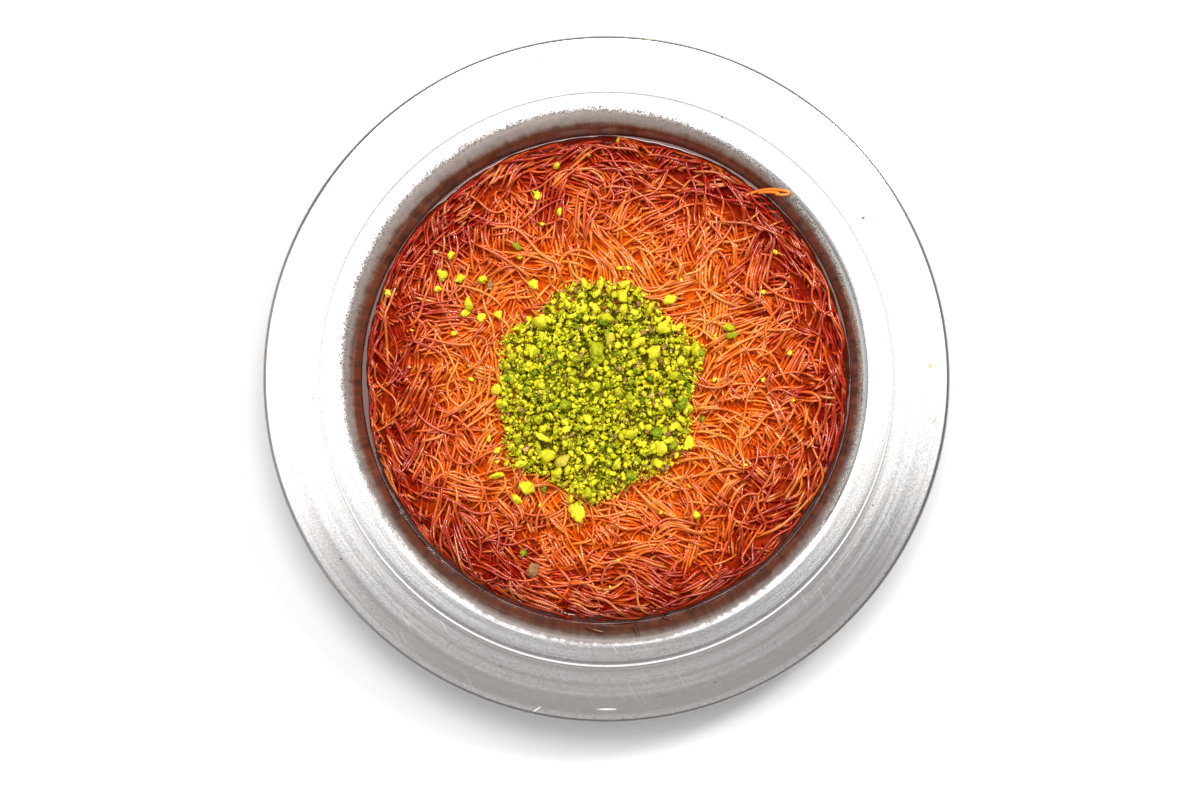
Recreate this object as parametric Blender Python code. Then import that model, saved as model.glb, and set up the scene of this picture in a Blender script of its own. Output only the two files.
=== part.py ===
"""Kunafa: a round of baked shredded pastry in syrup, in its own spun aluminium dish, with crushed pistachio.

Metres, +Z up. The dish stands on Z = 0 with its centre on the Z axis, and -Y is its near side.
"""

import math
import random

import bmesh
import bpy
from mathutils import Matrix, Vector

# The dish, a single sheet spun to shape
DISH_RADIUS = 0.107
SHEET = 0.0010
BASE_FLAT_RADIUS = 0.0715
BASE_CORNER = 0.0040
WALL_DRAFT = math.radians(15.6)
LIP_START_HEIGHT = 0.0155
LIP_RADIUS = 0.0050
INNER_BAND_SLOPE = math.radians(2.0)
STEP_RADIUS = 0.0894
STEP_WIDTH = 0.0011
STEP_HEIGHT = 0.00013
OUTER_BAND_SLOPE = math.radians(1.2)
EDGE_ROLL = 0.0013
EDGE_TURN = math.radians(80.0)
DISH_SEGMENTS = 60

# The pastry, pressed flat and a little uneven round its edge
GAP = 0.0003
PASTRY_RADIUS = 0.0755
PASTRY_TOP = 0.0126
PASTRY_SHOULDER = 0.0022
PASTRY_SEGMENTS = 60

# Waves round the pastry's edge: how many, their height as a share of its radius, and their phase
PASTRY_WAVES = ((3, 0.0040, 0.8), (7, 0.0030, 2.1), (13, 0.0022, 0.0))

# The threads that stand out most from its top
THREAD_DIAMETER = 0.00120
THREAD_COUNT = 118
THREAD_LENGTHS = (0.019, 0.033)
THREAD_STEP = 0.0080
THREAD_BEND = 20.0
THREAD_SUNK = 0.30
THREAD_LIFT = 0.00045
THREAD_LOOSENESS = 0.0003
EDGE_MARGIN = 0.0026

# The syrup standing between the pastry and the wall
SYRUP_LEVEL = 0.0112
SYRUP_SEGMENTS = 60

# The heap of crushed pistachio and the crumbs that lie away from it
HEAP_CENTRE = Vector((-0.0025, -0.0043))
HEAP_RADIUS = 0.0315
HEAP_HEIGHT = 0.0026
HEAP_SEGMENTS = 24
HEAP_CLEARANCE = 0.0016

# The bare mound's section, as shares of the heap's reach and of its height
MOUND_SECTION = ((0.0, 0.0), (0.97, 0.0), (0.93, 0.35), (0.72, 0.75), (0.38, 1.0), (0.0, 1.15))

# Lobes of the heap's outline: how many, their height as a share of its radius, and the direction of one
HEAP_LOBES = (
    (1, 0.036, math.radians(102)),
    (2, 0.038, math.radians(74)),
    (5, 0.016, math.radians(18)),
    (6, 0.040, math.radians(28)),
    (7, 0.024, math.radians(13)),
    (9, 0.020, math.radians(-14)),
)

# The chunks fused to the mound: the smaller ones are the more common, and all stay clear of the pastry
CHUNK_COUNT = 66
CHUNK_SIZES = (0.0030, 0.0056)
CHUNK_SKEW = 1.5
CHUNK_STRAY = 0.2
CHUNK_FALL = 0.62
CHUNK_RISE = 0.15
CHUNK_CLEARANCE = 0.62

# The crumbs on the pastry, and how far from round every crumb and chunk is
CRUMB_SIZES = (0.0022, 0.0042)
CRUMB_SUNK = 0.25
CRUMB_WIDTHS = (0.65, 0.95)
CRUMB_HEIGHTS = (0.55, 0.85)
CRUMB_ROUGHNESS = 0.14

# Where crumbs lie away from the heap: centre X and Y, spread, and how many
CRUMB_PATCHES = (
    (-0.0430, 0.0300, 0.0060, 6),
    (-0.0330, 0.0250, 0.0040, 2),
    (-0.0190, 0.0550, 0.0060, 4),
    (-0.0270, 0.0400, 0.0020, 1),
    (0.0380, 0.0150, 0.0025, 2),
    (0.0190, 0.0330, 0.0020, 1),
    (-0.0240, -0.0590, 0.0020, 1),
    (0.0260, -0.0380, 0.0060, 1),
    (-0.0390, 0.0000, 0.0030, 1),
    (0.0560, 0.0040, 0.0050, 1),
    (-0.0345, -0.0304, 0.0010, 1),
    (-0.0280, -0.0378, 0.0010, 1),
    (-0.0095, -0.0440, 0.0005, 1),
)

# Turned by this each time, pieces spread evenly over a round
GOLDEN_ANGLE = math.pi * (3 - math.sqrt(5))

# Faces that meet at less than this are shaded as one smooth surface
SMOOTH_ANGLE = math.radians(40)

# Points nearer than this are one point
MERGE_DISTANCE = 0.00001

# Each finish: its colour, roughness and metallic value
FINISHES = {
    "dish": ((0.78, 0.78, 0.79), 0.34, 1.0),
    "pastry": ((0.56, 0.12, 0.022), 0.38, 0.0),
    "syrup": ((0.09, 0.020, 0.008), 0.08, 0.0),
    "pistachio": ((0.44, 0.45, 0.030), 0.62, 0.0),
}


def clear_scene():
    for obj in list(bpy.data.objects):
        bpy.data.objects.remove(obj)


def material(name):
    colour, roughness, metallic = FINISHES[name]
    made = bpy.data.materials.new(name)
    made.use_nodes = True
    shader = made.node_tree.nodes["Principled BSDF"]
    shader.inputs["Base Color"].default_value = (*colour, 1.0)
    shader.inputs["Roughness"].default_value = roughness
    shader.inputs["Metallic"].default_value = metallic
    return made


def object_from(bm, name, finish=None):
    """A new object from a bmesh, in the scene, with one material if it is to be kept."""
    mesh = bpy.data.meshes.new(name)
    bm.to_mesh(mesh)
    bm.free()
    if finish:
        mesh.materials.append(finish)
        shade(mesh)
    obj = bpy.data.objects.new(name, mesh)
    bpy.context.scene.collection.objects.link(obj)
    return obj


def shade(mesh):
    """Shades a mesh smooth where its faces bend gently, and keeps its sharp edges."""
    mesh.shade_smooth()
    mesh.set_sharp_from_angle(angle=SMOOTH_ANGLE)


def sheet_profile():
    """The dish's upper surface as (radius, height) points, from its centre out to the rolled edge."""
    steep = math.pi / 2 - WALL_DRAFT
    points = [(0.0, SHEET)]
    for i in range(3):
        turn = steep * i / 2
        points.append(
            (
                BASE_FLAT_RADIUS + BASE_CORNER * math.sin(turn),
                SHEET + BASE_CORNER * (1 - math.cos(turn)),
            )
        )
    points.append((wall_radius(LIP_START_HEIGHT), LIP_START_HEIGHT))
    points += convex_turn(points[-1], LIP_RADIUS, steep, INNER_BAND_SLOPE, 3)
    radius, height = points[-1]
    height += (STEP_RADIUS - radius) * math.tan(INNER_BAND_SLOPE)
    points.append((STEP_RADIUS, height))
    points.append((STEP_RADIUS + STEP_WIDTH, height + STEP_HEIGHT))
    radius, height = points[-1]
    roll_width = EDGE_ROLL * (math.sin(OUTER_BAND_SLOPE) + math.sin(EDGE_TURN))
    roll_start = DISH_RADIUS - roll_width
    height += (roll_start - radius) * math.tan(OUTER_BAND_SLOPE)
    points.append((roll_start, height))
    points += convex_turn(points[-1], EDGE_ROLL, OUTER_BAND_SLOPE, -EDGE_TURN, 2)
    return points


def convex_turn(start, radius, slope_from, slope_to, steps):
    """Points of an arc that bends over from one slope to a lower one, after its start."""
    points = []
    for i in range(1, steps + 1):
        slope = slope_from + (slope_to - slope_from) * i / steps
        points.append(
            (
                start[0] + radius * (math.sin(slope_from) - math.sin(slope)),
                start[1] + radius * (math.cos(slope) - math.cos(slope_from)),
            )
        )
    return points


def wall_radius(height):
    """The inner radius of the dish's straight wall at a height."""
    steep = math.pi / 2 - WALL_DRAFT
    foot_radius = BASE_FLAT_RADIUS + BASE_CORNER * math.sin(steep)
    foot_height = SHEET + BASE_CORNER * (1 - math.cos(steep))
    return foot_radius + (height - foot_height) * math.tan(WALL_DRAFT)


def make_dish():
    """The sheet's upper surface is turned about Z, then given its thickness downwards and outwards."""
    bm = bmesh.new()
    points = [bm.verts.new((radius, 0, height)) for radius, height in sheet_profile()]
    for first, second in zip(points, points[1:]):
        bm.edges.new((first, second))
    dish = object_from(bm, "dish", material("dish"))
    turned = dish.modifiers.new("Turned", "SCREW")
    turned.steps = turned.render_steps = DISH_SEGMENTS
    turned.use_merge_vertices = True
    turned.merge_threshold = MERGE_DISTANCE
    turned.use_normal_calculate = True
    turned.use_smooth_shade = True
    wall = dish.modifiers.new("Sheet", "SOLIDIFY")
    wall.thickness = SHEET
    wall.offset = -1
    wall.use_even_offset = True
    return dish


def pastry_swell(angle):
    """How far the pastry's edge strays from a true circle, as a factor."""
    return 1 + sum(height * math.sin(count * angle + phase) for count, height, phase in PASTRY_WAVES)


def side_radius(height):
    """The pastry's radius below its shoulder: it was pressed into the dish, so it leans as the wall does."""
    return PASTRY_RADIUS - (PASTRY_TOP - PASTRY_SHOULDER - height) * math.tan(WALL_DRAFT)


def pastry_profile():
    """The bare pastry as (radius, height) points, from the centre below to the centre above."""
    floor = SHEET + GAP
    shoulder = PASTRY_TOP - PASTRY_SHOULDER
    points = [(0.0, floor), (side_radius(floor) - BASE_CORNER / 2, floor)]
    points += [(side_radius(floor + BASE_CORNER / 2) - GAP, floor + BASE_CORNER / 2)]
    for i in range(4):
        turn = math.pi / 2 * i / 3
        points.append(
            (
                PASTRY_RADIUS - PASTRY_SHOULDER * (1 - math.cos(turn)) * 1.5,
                shoulder + PASTRY_SHOULDER * math.sin(turn),
            )
        )
    points.append((0.0, PASTRY_TOP))
    return points


def pastry_height(radius):
    """The height of the bare pastry's top surface at a radius."""
    inner = PASTRY_RADIUS - 1.5 * PASTRY_SHOULDER
    if radius <= inner:
        return PASTRY_TOP
    over = min((radius - inner) / (1.5 * PASTRY_SHOULDER), 1.0)
    return PASTRY_TOP - PASTRY_SHOULDER * (1 - math.sqrt(1 - over * over))


def lathed(profile, segments, name, finish):
    """A closed solid of revolution: the profile's ends lie on the axis."""
    bm = bmesh.new()
    points = [bm.verts.new((radius, 0, height)) for radius, height in profile]
    edges = [bm.edges.new(pair) for pair in zip(points, points[1:])]
    bmesh.ops.spin(
        bm,
        geom=points + edges,
        cent=(0, 0, 0),
        axis=(0, 0, 1),
        angle=2 * math.pi,
        steps=segments,
        use_merge=True,
    )
    bmesh.ops.remove_doubles(bm, verts=bm.verts, dist=MERGE_DISTANCE)
    bmesh.ops.recalc_face_normals(bm, faces=bm.faces)
    return object_from(bm, name, finish)


def reshape(obj, move):
    """Moves every point of an object's mesh by a function of its place."""
    for vertex in obj.data.vertices:
        vertex.co = move(vertex.co)
    obj.data.update()


def heap_edge(angle):
    """The heap's uneven outline: its reach from the heap's centre in each direction."""
    lobes = (height * math.cos(count * (angle - towards)) for count, height, towards in HEAP_LOBES)
    return HEAP_RADIUS * (1 + sum(lobes))


def over_heap(x, y, margin):
    """True where the heap, or the margin round it, covers a point."""
    away = Vector((x, y)) - HEAP_CENTRE
    return away.length < heap_edge(math.atan2(away.y, away.x)) + margin


def thread_route(draw, share, around, lift):
    """One thread's path over the pastry: a gentle curve that turns aside before the pastry's edge.

    Its middle lies at a share of the pastry's area, counted from the centre, in the direction around.
    """
    radius = (PASTRY_RADIUS - EDGE_MARGIN) * math.sqrt(share)
    heading = draw.uniform(0, 2 * math.pi)
    bend = draw.gauss(0, THREAD_BEND)
    length = draw.uniform(*THREAD_LENGTHS)
    steps = max(3, round(length / THREAD_STEP))
    middle_heading = heading + bend * length / 2
    place = Vector((radius * math.cos(around), radius * math.sin(around)))
    place -= length / 2 * Vector((math.cos(middle_heading), math.sin(middle_heading)))
    lift += draw.uniform(0, THREAD_LOOSENESS)
    inset = EDGE_MARGIN + draw.uniform(0, THREAD_LOOSENESS)
    route = []
    for _ in range(steps + 1):
        reach = place.length
        limit = (PASTRY_RADIUS - inset) * pastry_swell(math.atan2(place.y, place.x))
        if reach > limit:
            place *= limit / reach
        if over_heap(place.x, place.y, HEAP_CLEARANCE):
            break
        height = pastry_height(place.length + THREAD_DIAMETER) + (0.5 - THREAD_SUNK) * THREAD_DIAMETER
        route.append(Vector((place.x, place.y, height + lift)))
        place = place + THREAD_STEP * Vector((math.cos(heading), math.sin(heading)))
        heading += bend * THREAD_STEP
    return route


def thread_mesh(route):
    """A thread of four sides along its route, with closed ends."""
    curve = bpy.data.curves.new("thread", "CURVE")
    curve.dimensions = "3D"
    curve.bevel_depth = THREAD_DIAMETER / 2
    curve.bevel_resolution = 0
    curve.use_fill_caps = True
    spline = curve.splines.new("POLY")
    spline.points.add(len(route) - 1)
    for point, place in zip(spline.points, route):
        point.co = (*place, 1.0)
    guide = bpy.data.objects.new("thread", curve)
    bm = bmesh.new()
    bm.from_mesh(guide.to_mesh())
    guide.to_mesh_clear()
    bpy.data.objects.remove(guide)
    bmesh.ops.remove_doubles(bm, verts=bm.verts, dist=MERGE_DISTANCE)
    bmesh.ops.recalc_face_normals(bm, faces=bm.faces)
    return bm


def crumb_mesh(draw, size, place):
    """A broken crumb: a twenty-sided ball, squashed and turned at random, its points pushed in and out."""
    bm = bmesh.new()
    bmesh.ops.create_icosphere(bm, subdivisions=1, radius=size / 2)
    squash = Matrix.Diagonal((1.0, draw.uniform(*CRUMB_WIDTHS), draw.uniform(*CRUMB_HEIGHTS), 1.0))
    axis = Vector((draw.gauss(0, 1), draw.gauss(0, 1), draw.gauss(0, 1))).normalized()
    turn = Matrix.Rotation(draw.uniform(0, 2 * math.pi), 4, axis)
    for vertex in bm.verts:
        vertex.co *= draw.uniform(1 - CRUMB_ROUGHNESS, 1 + CRUMB_ROUGHNESS)
    bm.transform(Matrix.Translation(place) @ turn @ squash)
    return bm


def fuse(core, pieces):
    """Joins loose pieces to a core as one body, then drops the loose ones."""
    loose = bpy.data.collections.new("loose pieces")
    bpy.context.scene.collection.children.link(loose)
    for bm in pieces:
        piece = object_from(bm, "piece")
        bpy.context.scene.collection.objects.unlink(piece)
        loose.objects.link(piece)
    union = core.modifiers.new("Union", "BOOLEAN")
    union.operation = "UNION"
    union.solver = "MANIFOLD"
    union.operand_type = "COLLECTION"
    union.collection = loose
    bpy.context.view_layer.update()
    evaluated = core.evaluated_get(bpy.context.evaluated_depsgraph_get())
    joined = bpy.data.meshes.new_from_object(evaluated)
    core.modifiers.remove(union)
    core.data = joined
    for piece in list(loose.objects):
        bpy.data.objects.remove(piece)
    bpy.data.collections.remove(loose)
    keep_outer_shell(core.data)
    shade(core.data)
    return core


def keep_outer_shell(mesh):
    """Fills the hollows that the joining sealed and drops loose scraps: only the largest shell stays."""
    bm = bmesh.new()
    bm.from_mesh(mesh)
    unseen = set(bm.verts)
    shells = []
    while unseen:
        shell = set()
        edge_of_search = [unseen.pop()]
        while edge_of_search:
            vertex = edge_of_search.pop()
            shell.add(vertex)
            linked = {edge.other_vert(vertex) for edge in vertex.link_edges} & unseen
            unseen -= linked
            edge_of_search += linked
        shells.append(shell)
    shells.sort(key=len)
    for shell in shells[:-1]:
        bmesh.ops.delete(bm, geom=list(shell), context="VERTS")
    bm.to_mesh(mesh)
    bm.free()


def make_kunafa():
    """The pastry round with its threads in relief and the stray crumbs of pistachio fused to it."""
    draw = random.Random(11)
    core = lathed(pastry_profile(), PASTRY_SEGMENTS, "kunafa", material("pastry"))
    reshape(core, swollen)
    pieces = []
    for i in range(THREAD_COUNT):
        route = thread_route(draw, (i + 0.5) / THREAD_COUNT, i * GOLDEN_ANGLE, THREAD_LIFT * (i % 2))
        if len(route) >= 3:
            pieces.append(thread_mesh(route))
    for x, y, spread, count in CRUMB_PATCHES:
        for _ in range(count):
            size = draw.uniform(*CRUMB_SIZES)
            place = Vector((x + draw.gauss(0, 0.5) * spread, y + draw.gauss(0, 0.5) * spread))
            if not over_heap(place.x, place.y, HEAP_CLEARANCE + size / 2):
                height = PASTRY_TOP + (0.5 - CRUMB_SUNK) * size
                pieces.append(crumb_mesh(draw, size, Vector((place.x, place.y, height))))
    return fuse(core, pieces)


def swollen(co):
    """A point of the round pastry, moved out or in with the waves of its edge."""
    swell = pastry_swell(math.atan2(co.y, co.x))
    return Vector((co.x * swell, co.y * swell, co.z))


def make_syrup():
    """A ring of syrup up to its level: its inner side follows the pastry and its outer side the wall."""
    foot = SHEET + BASE_CORNER + GAP
    bm = bmesh.new()
    rings = []
    for i in range(SYRUP_SEGMENTS):
        angle = 2 * math.pi * i / SYRUP_SEGMENTS
        swell = pastry_swell(angle)
        facet = 1 / math.cos(math.pi / SYRUP_SEGMENTS)
        top = min(SYRUP_LEVEL, PASTRY_TOP - PASTRY_SHOULDER)
        section = (
            (side_radius(foot) * swell * facet + GAP, foot),
            (side_radius(top) * swell * facet + GAP, top),
            (PASTRY_RADIUS * swell * facet + GAP, SYRUP_LEVEL),
            ((wall_radius(SYRUP_LEVEL) - GAP) * math.cos(math.pi / DISH_SEGMENTS), SYRUP_LEVEL),
            ((wall_radius(foot) - GAP) * math.cos(math.pi / DISH_SEGMENTS), foot),
        )
        turn = Vector((math.cos(angle), math.sin(angle)))
        rings.append([bm.verts.new((radius * turn.x, radius * turn.y, height)) for radius, height in section])
    for ring, following in zip(rings, rings[1:] + rings[:1]):
        for j, corner in enumerate(ring):
            k = (j + 1) % len(ring)
            bm.faces.new((corner, ring[k], following[k], following[j]))
    bmesh.ops.recalc_face_normals(bm, faces=bm.faces)
    return object_from(bm, "syrup", material("syrup"))


def over_mound(co):
    """A point of a round mound of unit radius, moved to the heap's place and uneven outline."""
    edge = heap_edge(math.atan2(co.y, co.x))
    return Vector((HEAP_CENTRE.x + edge * co.x, HEAP_CENTRE.y + edge * co.y, co.z))


def make_heap():
    """Crushed pistachio: a low mound with an uneven outline, and the larger chunks that show fused on."""
    draw = random.Random(7)
    floor = PASTRY_TOP + GAP
    profile = [(reach, floor + share * HEAP_HEIGHT) for reach, share in MOUND_SECTION]
    core = lathed(profile, HEAP_SEGMENTS, "pistachio", material("pistachio"))
    reshape(core, over_mound)
    pieces = []
    for i in range(CHUNK_COUNT):
        size = CHUNK_SIZES[0] + (CHUNK_SIZES[1] - CHUNK_SIZES[0]) * draw.random() ** CHUNK_SKEW
        reach = math.sqrt((i + 0.5) / CHUNK_COUNT)
        angle = i * GOLDEN_ANGLE + draw.uniform(-CHUNK_STRAY, CHUNK_STRAY)
        mound = HEAP_HEIGHT * (1 - CHUNK_FALL * reach**2)
        height = floor + max(CHUNK_CLEARANCE * size, mound + CHUNK_RISE * size)
        place = over_mound(Vector((reach * math.cos(angle), reach * math.sin(angle), height)))
        pieces.append(crumb_mesh(draw, size, place))
    return fuse(core, pieces)


def main():
    clear_scene()
    make_dish()
    make_kunafa()
    make_syrup()
    make_heap()


main()
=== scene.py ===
"""Looks of a kunafa: shredded pastry baked in its spun aluminium dish, with syrup and crushed pistachio.

Metres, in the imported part's frame: the dish stands on Z = 0 round the Z axis, and -Y is its near side.
"""

import math

import bpy
import numpy as np
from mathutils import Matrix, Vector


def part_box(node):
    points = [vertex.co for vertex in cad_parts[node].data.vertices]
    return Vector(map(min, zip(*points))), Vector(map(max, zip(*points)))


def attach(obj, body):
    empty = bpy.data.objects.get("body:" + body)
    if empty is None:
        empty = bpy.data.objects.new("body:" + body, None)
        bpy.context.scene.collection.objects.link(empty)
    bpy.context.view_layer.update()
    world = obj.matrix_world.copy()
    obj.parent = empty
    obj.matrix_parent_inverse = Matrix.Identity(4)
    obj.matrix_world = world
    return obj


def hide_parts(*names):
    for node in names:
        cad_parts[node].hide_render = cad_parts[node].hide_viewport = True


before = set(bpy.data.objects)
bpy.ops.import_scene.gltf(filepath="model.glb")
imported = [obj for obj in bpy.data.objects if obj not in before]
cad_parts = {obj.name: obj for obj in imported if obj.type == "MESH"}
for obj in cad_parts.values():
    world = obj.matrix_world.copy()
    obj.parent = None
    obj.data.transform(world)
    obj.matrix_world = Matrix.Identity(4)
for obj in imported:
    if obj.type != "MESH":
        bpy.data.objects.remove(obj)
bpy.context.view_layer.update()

MM = 0.001
UP = np.array((0.0, 0.0, 1.0))

# The photograph's frame and the camera that took it, straight above the dish
PHOTO_WIDTH = 1200
PHOTO_HEIGHT = 800
SENSOR_WIDTH = 36.0
FOCAL_PIXELS = 1915.0
CAMERA_PLACE = (-0.0020, -0.0065, 0.6157)

# The dish: radii, heights and slopes of the upper side of its one sheet
DISH_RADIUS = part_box("dish")[1].x
SHEET = 1.0 * MM
BASE_FLAT_RADIUS = 71.5 * MM
BASE_CORNER = 4.0 * MM
WALL_DRAFT = math.radians(15.6)
WALL_STEEPNESS = math.pi / 2 - WALL_DRAFT
LIP_START_HEIGHT = 15.5 * MM
LIP_RADIUS = 5.0 * MM
INNER_BAND_SLOPE = math.radians(2.0)
STEP_RADIUS = 88.8 * MM
STEP_WIDTH = 1.1 * MM
STEP_HEIGHT = 0.09 * MM
STEP_FLAT = 0.27 * MM
OUTER_BAND_SLOPE = math.radians(1.8)
EDGE_ROLL = 1.3 * MM
EDGE_TURN = math.radians(80.0)
DISH_SEGMENTS = 336
FULLY_SUNK = 0.015 * MM

# The pastry. Each wave of its edge: waves round it, share of the radius, phase
PASTRY_RADIUS = 75.5 * MM
PASTRY_TOP = 12.6 * MM
PASTRY_SHOULDER = 2.2 * MM
PASTRY_WAVES = ((3, 0.0040, 0.8), (7, 0.0030, 2.1), (13, 0.0022, 0.0))

# The syrup between the pastry and the wall: its level there, and how far below it the middle lies
SYRUP_LEVEL = 11.2 * MM
SYRUP_HOLLOW = 0.35 * MM
SYRUP_SEGMENTS = 720

# The heap of crushed pistachio. Each lobe of its outline: waves round it, share of the radius, direction
HEAP_CENTRE = np.array((-2.5, -4.3)) * MM
HEAP_RADIUS = 31.5 * MM
MOUND_HEIGHT = 1.3 * MM
HEAP_LOBES = (
    (1, 0.036, math.radians(102)),
    (2, 0.038, math.radians(74)),
    (5, 0.016, math.radians(18)),
    (6, 0.040, math.radians(28)),
    (7, 0.024, math.radians(13)),
    (9, 0.020, math.radians(-14)),
)


class Wire:
    """A socket of a material's nodes. Python's operators on it add Math nodes."""

    def __init__(self, finish, socket):
        self.finish = finish
        self.socket = socket

    def maths(self, operation, *values):
        inputs = dict(enumerate(values))
        return self.finish.node("ShaderNodeMath", {"operation": operation}, inputs)

    def __add__(self, other):
        return self.maths("ADD", self, other)

    __radd__ = __add__

    def __mul__(self, other):
        return self.maths("MULTIPLY", self, other)

    __rmul__ = __mul__

    def __sub__(self, other):
        return self.maths("SUBTRACT", self, other)

    def __rsub__(self, other):
        return self.maths("SUBTRACT", other, self)

    def __truediv__(self, other):
        return self.maths("DIVIDE", self, other)

    def __rtruediv__(self, other):
        return self.maths("DIVIDE", other, self)

    def __pow__(self, other):
        return self.maths("POWER", self, other)

    def at_most(self, other):
        return self.maths("MINIMUM", self, other)

    def at_least(self, other):
        return self.maths("MAXIMUM", self, other)

    def above(self, low, high):
        """0 below low, 1 above high, and a smooth rise between."""
        settings = {"interpolation_type": "SMOOTHSTEP"}
        inputs = {"Value": self, "From Min": low, "From Max": high, "To Min": 0.0, "To Max": 1.0}
        return self.finish.node("ShaderNodeMapRange", settings, inputs)

    def below(self, low, high):
        """1 below low, 0 above high, and a smooth fall between."""
        return 1 - self.above(low, high)


class Finish:
    """A material whose nodes are made by node(), and whose shader is set by shade()."""

    def __init__(self, name):
        self.material = bpy.data.materials.new(name)
        self.material.use_nodes = True
        self.tree = self.material.node_tree
        self.shader = self.tree.nodes["Principled BSDF"]

    def connect(self, socket, value):
        if isinstance(value, Wire):
            self.tree.links.new(value.socket, socket)
        elif isinstance(value, tuple) and len(value) == 3 and socket.type == "RGBA":
            socket.default_value = (*value, 1.0)
        else:
            socket.default_value = value

    def node(self, kind, settings=None, inputs=None, output=0):
        """A node of one kind: its settings first, then the values or links of its sockets."""
        made = self.tree.nodes.new(kind)
        for key, value in (settings or {}).items():
            setattr(made, key, value)
        for key, value in (inputs or {}).items():
            self.connect(made.inputs[key], value)
        return Wire(self, made.outputs[output])

    def shade(self, **values):
        """Sets the shader's sockets: Base_Color stands for Base Color."""
        for key, value in values.items():
            self.connect(self.shader.inputs[key.replace("_", " ")], value)

    def place(self):
        return self.node("ShaderNodeTexCoord", output="Object")

    def attribute(self, name):
        return self.node("ShaderNodeAttribute", {"attribute_name": name}, output="Fac")

    def split(self, vector):
        made = self.tree.nodes.new("ShaderNodeSeparateXYZ")
        self.tree.links.new(vector.socket, made.inputs[0])
        return [Wire(self, socket) for socket in made.outputs]

    def join(self, x, y, z):
        return self.node("ShaderNodeCombineXYZ", inputs={0: x, 1: y, 2: z})

    def noise(self, vector, scale, detail=2.0, roughness=0.5):
        inputs = {"Vector": vector, "Scale": scale, "Detail": detail, "Roughness": roughness}
        return self.node("ShaderNodeTexNoise", inputs=inputs)

    def mix(self, factor, first, second):
        """A mix of two colours."""
        made = self.tree.nodes.new("ShaderNodeMix")
        made.data_type = "RGBA"
        made.clamp_factor = True
        for index, value in ((0, factor), (6, first), (7, second)):
            self.connect(made.inputs[index], value)
        return Wire(self, made.outputs[2])

    def layered(self, colour, *layers):
        """A colour under layers of (factor, colour), from the lowest to the top one."""
        for factor, over in layers:
            colour = self.mix(factor, colour, over)
        return colour

    def bump(self, height, distance):
        return self.node("ShaderNodeBump", inputs={"Height": height, "Distance": distance})


def smooth_rise(value, low, high):
    """0 below low, 1 above high, 3t^2 - 2t^3 between, with t the share of the way."""
    share = np.clip((value - low) / (high - low), 0.0, 1.0)
    return share * share * (3 - 2 * share)


def ripple(x, y, wavelength, seed, waves=9):
    """Soft hills of one size: a sum of sine waves in random directions, from about -1 to 1."""
    draw = np.random.default_rng(seed)
    towards = draw.uniform(0, 2 * math.pi, waves)
    pitch = 2 * math.pi / (wavelength * draw.uniform(0.7, 1.5, waves))
    phase = draw.uniform(0, 2 * math.pi, waves)
    along = np.multiply.outer(x, np.cos(towards)) + np.multiply.outer(y, np.sin(towards))
    return np.sin(along * pitch + phase).sum(-1) / math.sqrt(waves)


def mesh_piece(name, finish, points, faces, attributes=None, smooth=True):
    """A piece from an array of points and arrays of faces, each with its own count of corners.

    An attribute has one value for each point, or for each run of points of the same length.
    """
    mesh = bpy.data.meshes.new(name)
    mesh.vertices.add(len(points))
    mesh.vertices.foreach_set("co", np.ascontiguousarray(points, np.float32).ravel())
    corners = np.concatenate([group.ravel() for group in faces]).astype(np.int32)
    counts = np.concatenate([np.full(len(group), group.shape[1]) for group in faces])
    starts = np.concatenate(([0], np.cumsum(counts)[:-1])).astype(np.int32)
    mesh.loops.add(len(corners))
    mesh.loops.foreach_set("vertex_index", corners)
    mesh.polygons.add(len(counts))
    mesh.polygons.foreach_set("loop_start", starts)
    mesh.update(calc_edges=True)
    for key, values in (attributes or {}).items():
        values = np.ravel(values).astype(np.float32)
        layer = mesh.attributes.new(key, "FLOAT", "POINT")
        layer.data.foreach_set("value", np.repeat(values, len(points) // len(values)))
    if smooth:
        mesh.shade_smooth()
    mesh.materials.append(finish.material)
    piece = bpy.data.objects.new(name, mesh)
    bpy.context.scene.collection.objects.link(piece)
    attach(piece, "root")
    return piece


def turned_faces(rings, segments):
    """Quads between closed rings of points, wound so that a rising profile faces out."""
    ring, around = np.meshgrid(np.arange(rings - 1), np.arange(segments), indexing="ij")
    after = (around + 1) % segments
    quads = np.stack(
        (
            ring * segments + around,
            ring * segments + after,
            (ring + 1) * segments + after,
            (ring + 1) * segments + around,
        ),
        -1,
    )
    return quads.reshape(-1, 4)


def turned(profile, segments):
    """A profile of (radius, height) rows carried round the Z axis: (radius cos a, radius sin a, height).

    Its ends lie on the axis, where each is closed by a fan of triangles to one point.
    """
    radii = profile[1:-1, 0]
    heights = profile[1:-1, 1]
    angles = np.arange(segments) * 2 * math.pi / segments
    points = np.empty((len(radii), segments, 3))
    points[..., 0] = radii[:, None] * np.cos(angles)
    points[..., 1] = radii[:, None] * np.sin(angles)
    points[..., 2] = heights[:, None]
    quads = turned_faces(len(radii), segments)
    last = len(radii) * segments
    around = np.arange(segments)
    after = (around + 1) % segments
    first_fan = np.stack((np.full(segments, last), after, around), -1)
    top = last - segments
    last_fan = np.stack((np.full(segments, last + 1), top + around, top + after), -1)
    ends = np.array(((0, 0, profile[0, 1]), (0, 0, profile[-1, 1])))
    points = np.concatenate((points.reshape(-1, 3), ends))
    return points, [quads, np.concatenate((first_fan, last_fan))]


def bend(start, radius, slope_from, slope_to, steps):
    """Points of an arc after its start, which turns from one slope to a lower one."""
    slopes = slope_from + (slope_to - slope_from) * np.arange(1, steps + 1) / steps
    across = start[0] + radius * (math.sin(slope_from) - np.sin(slopes))
    up = start[1] + radius * (np.cos(slopes) - math.cos(slope_from))
    return np.stack((across, up), -1)


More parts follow.
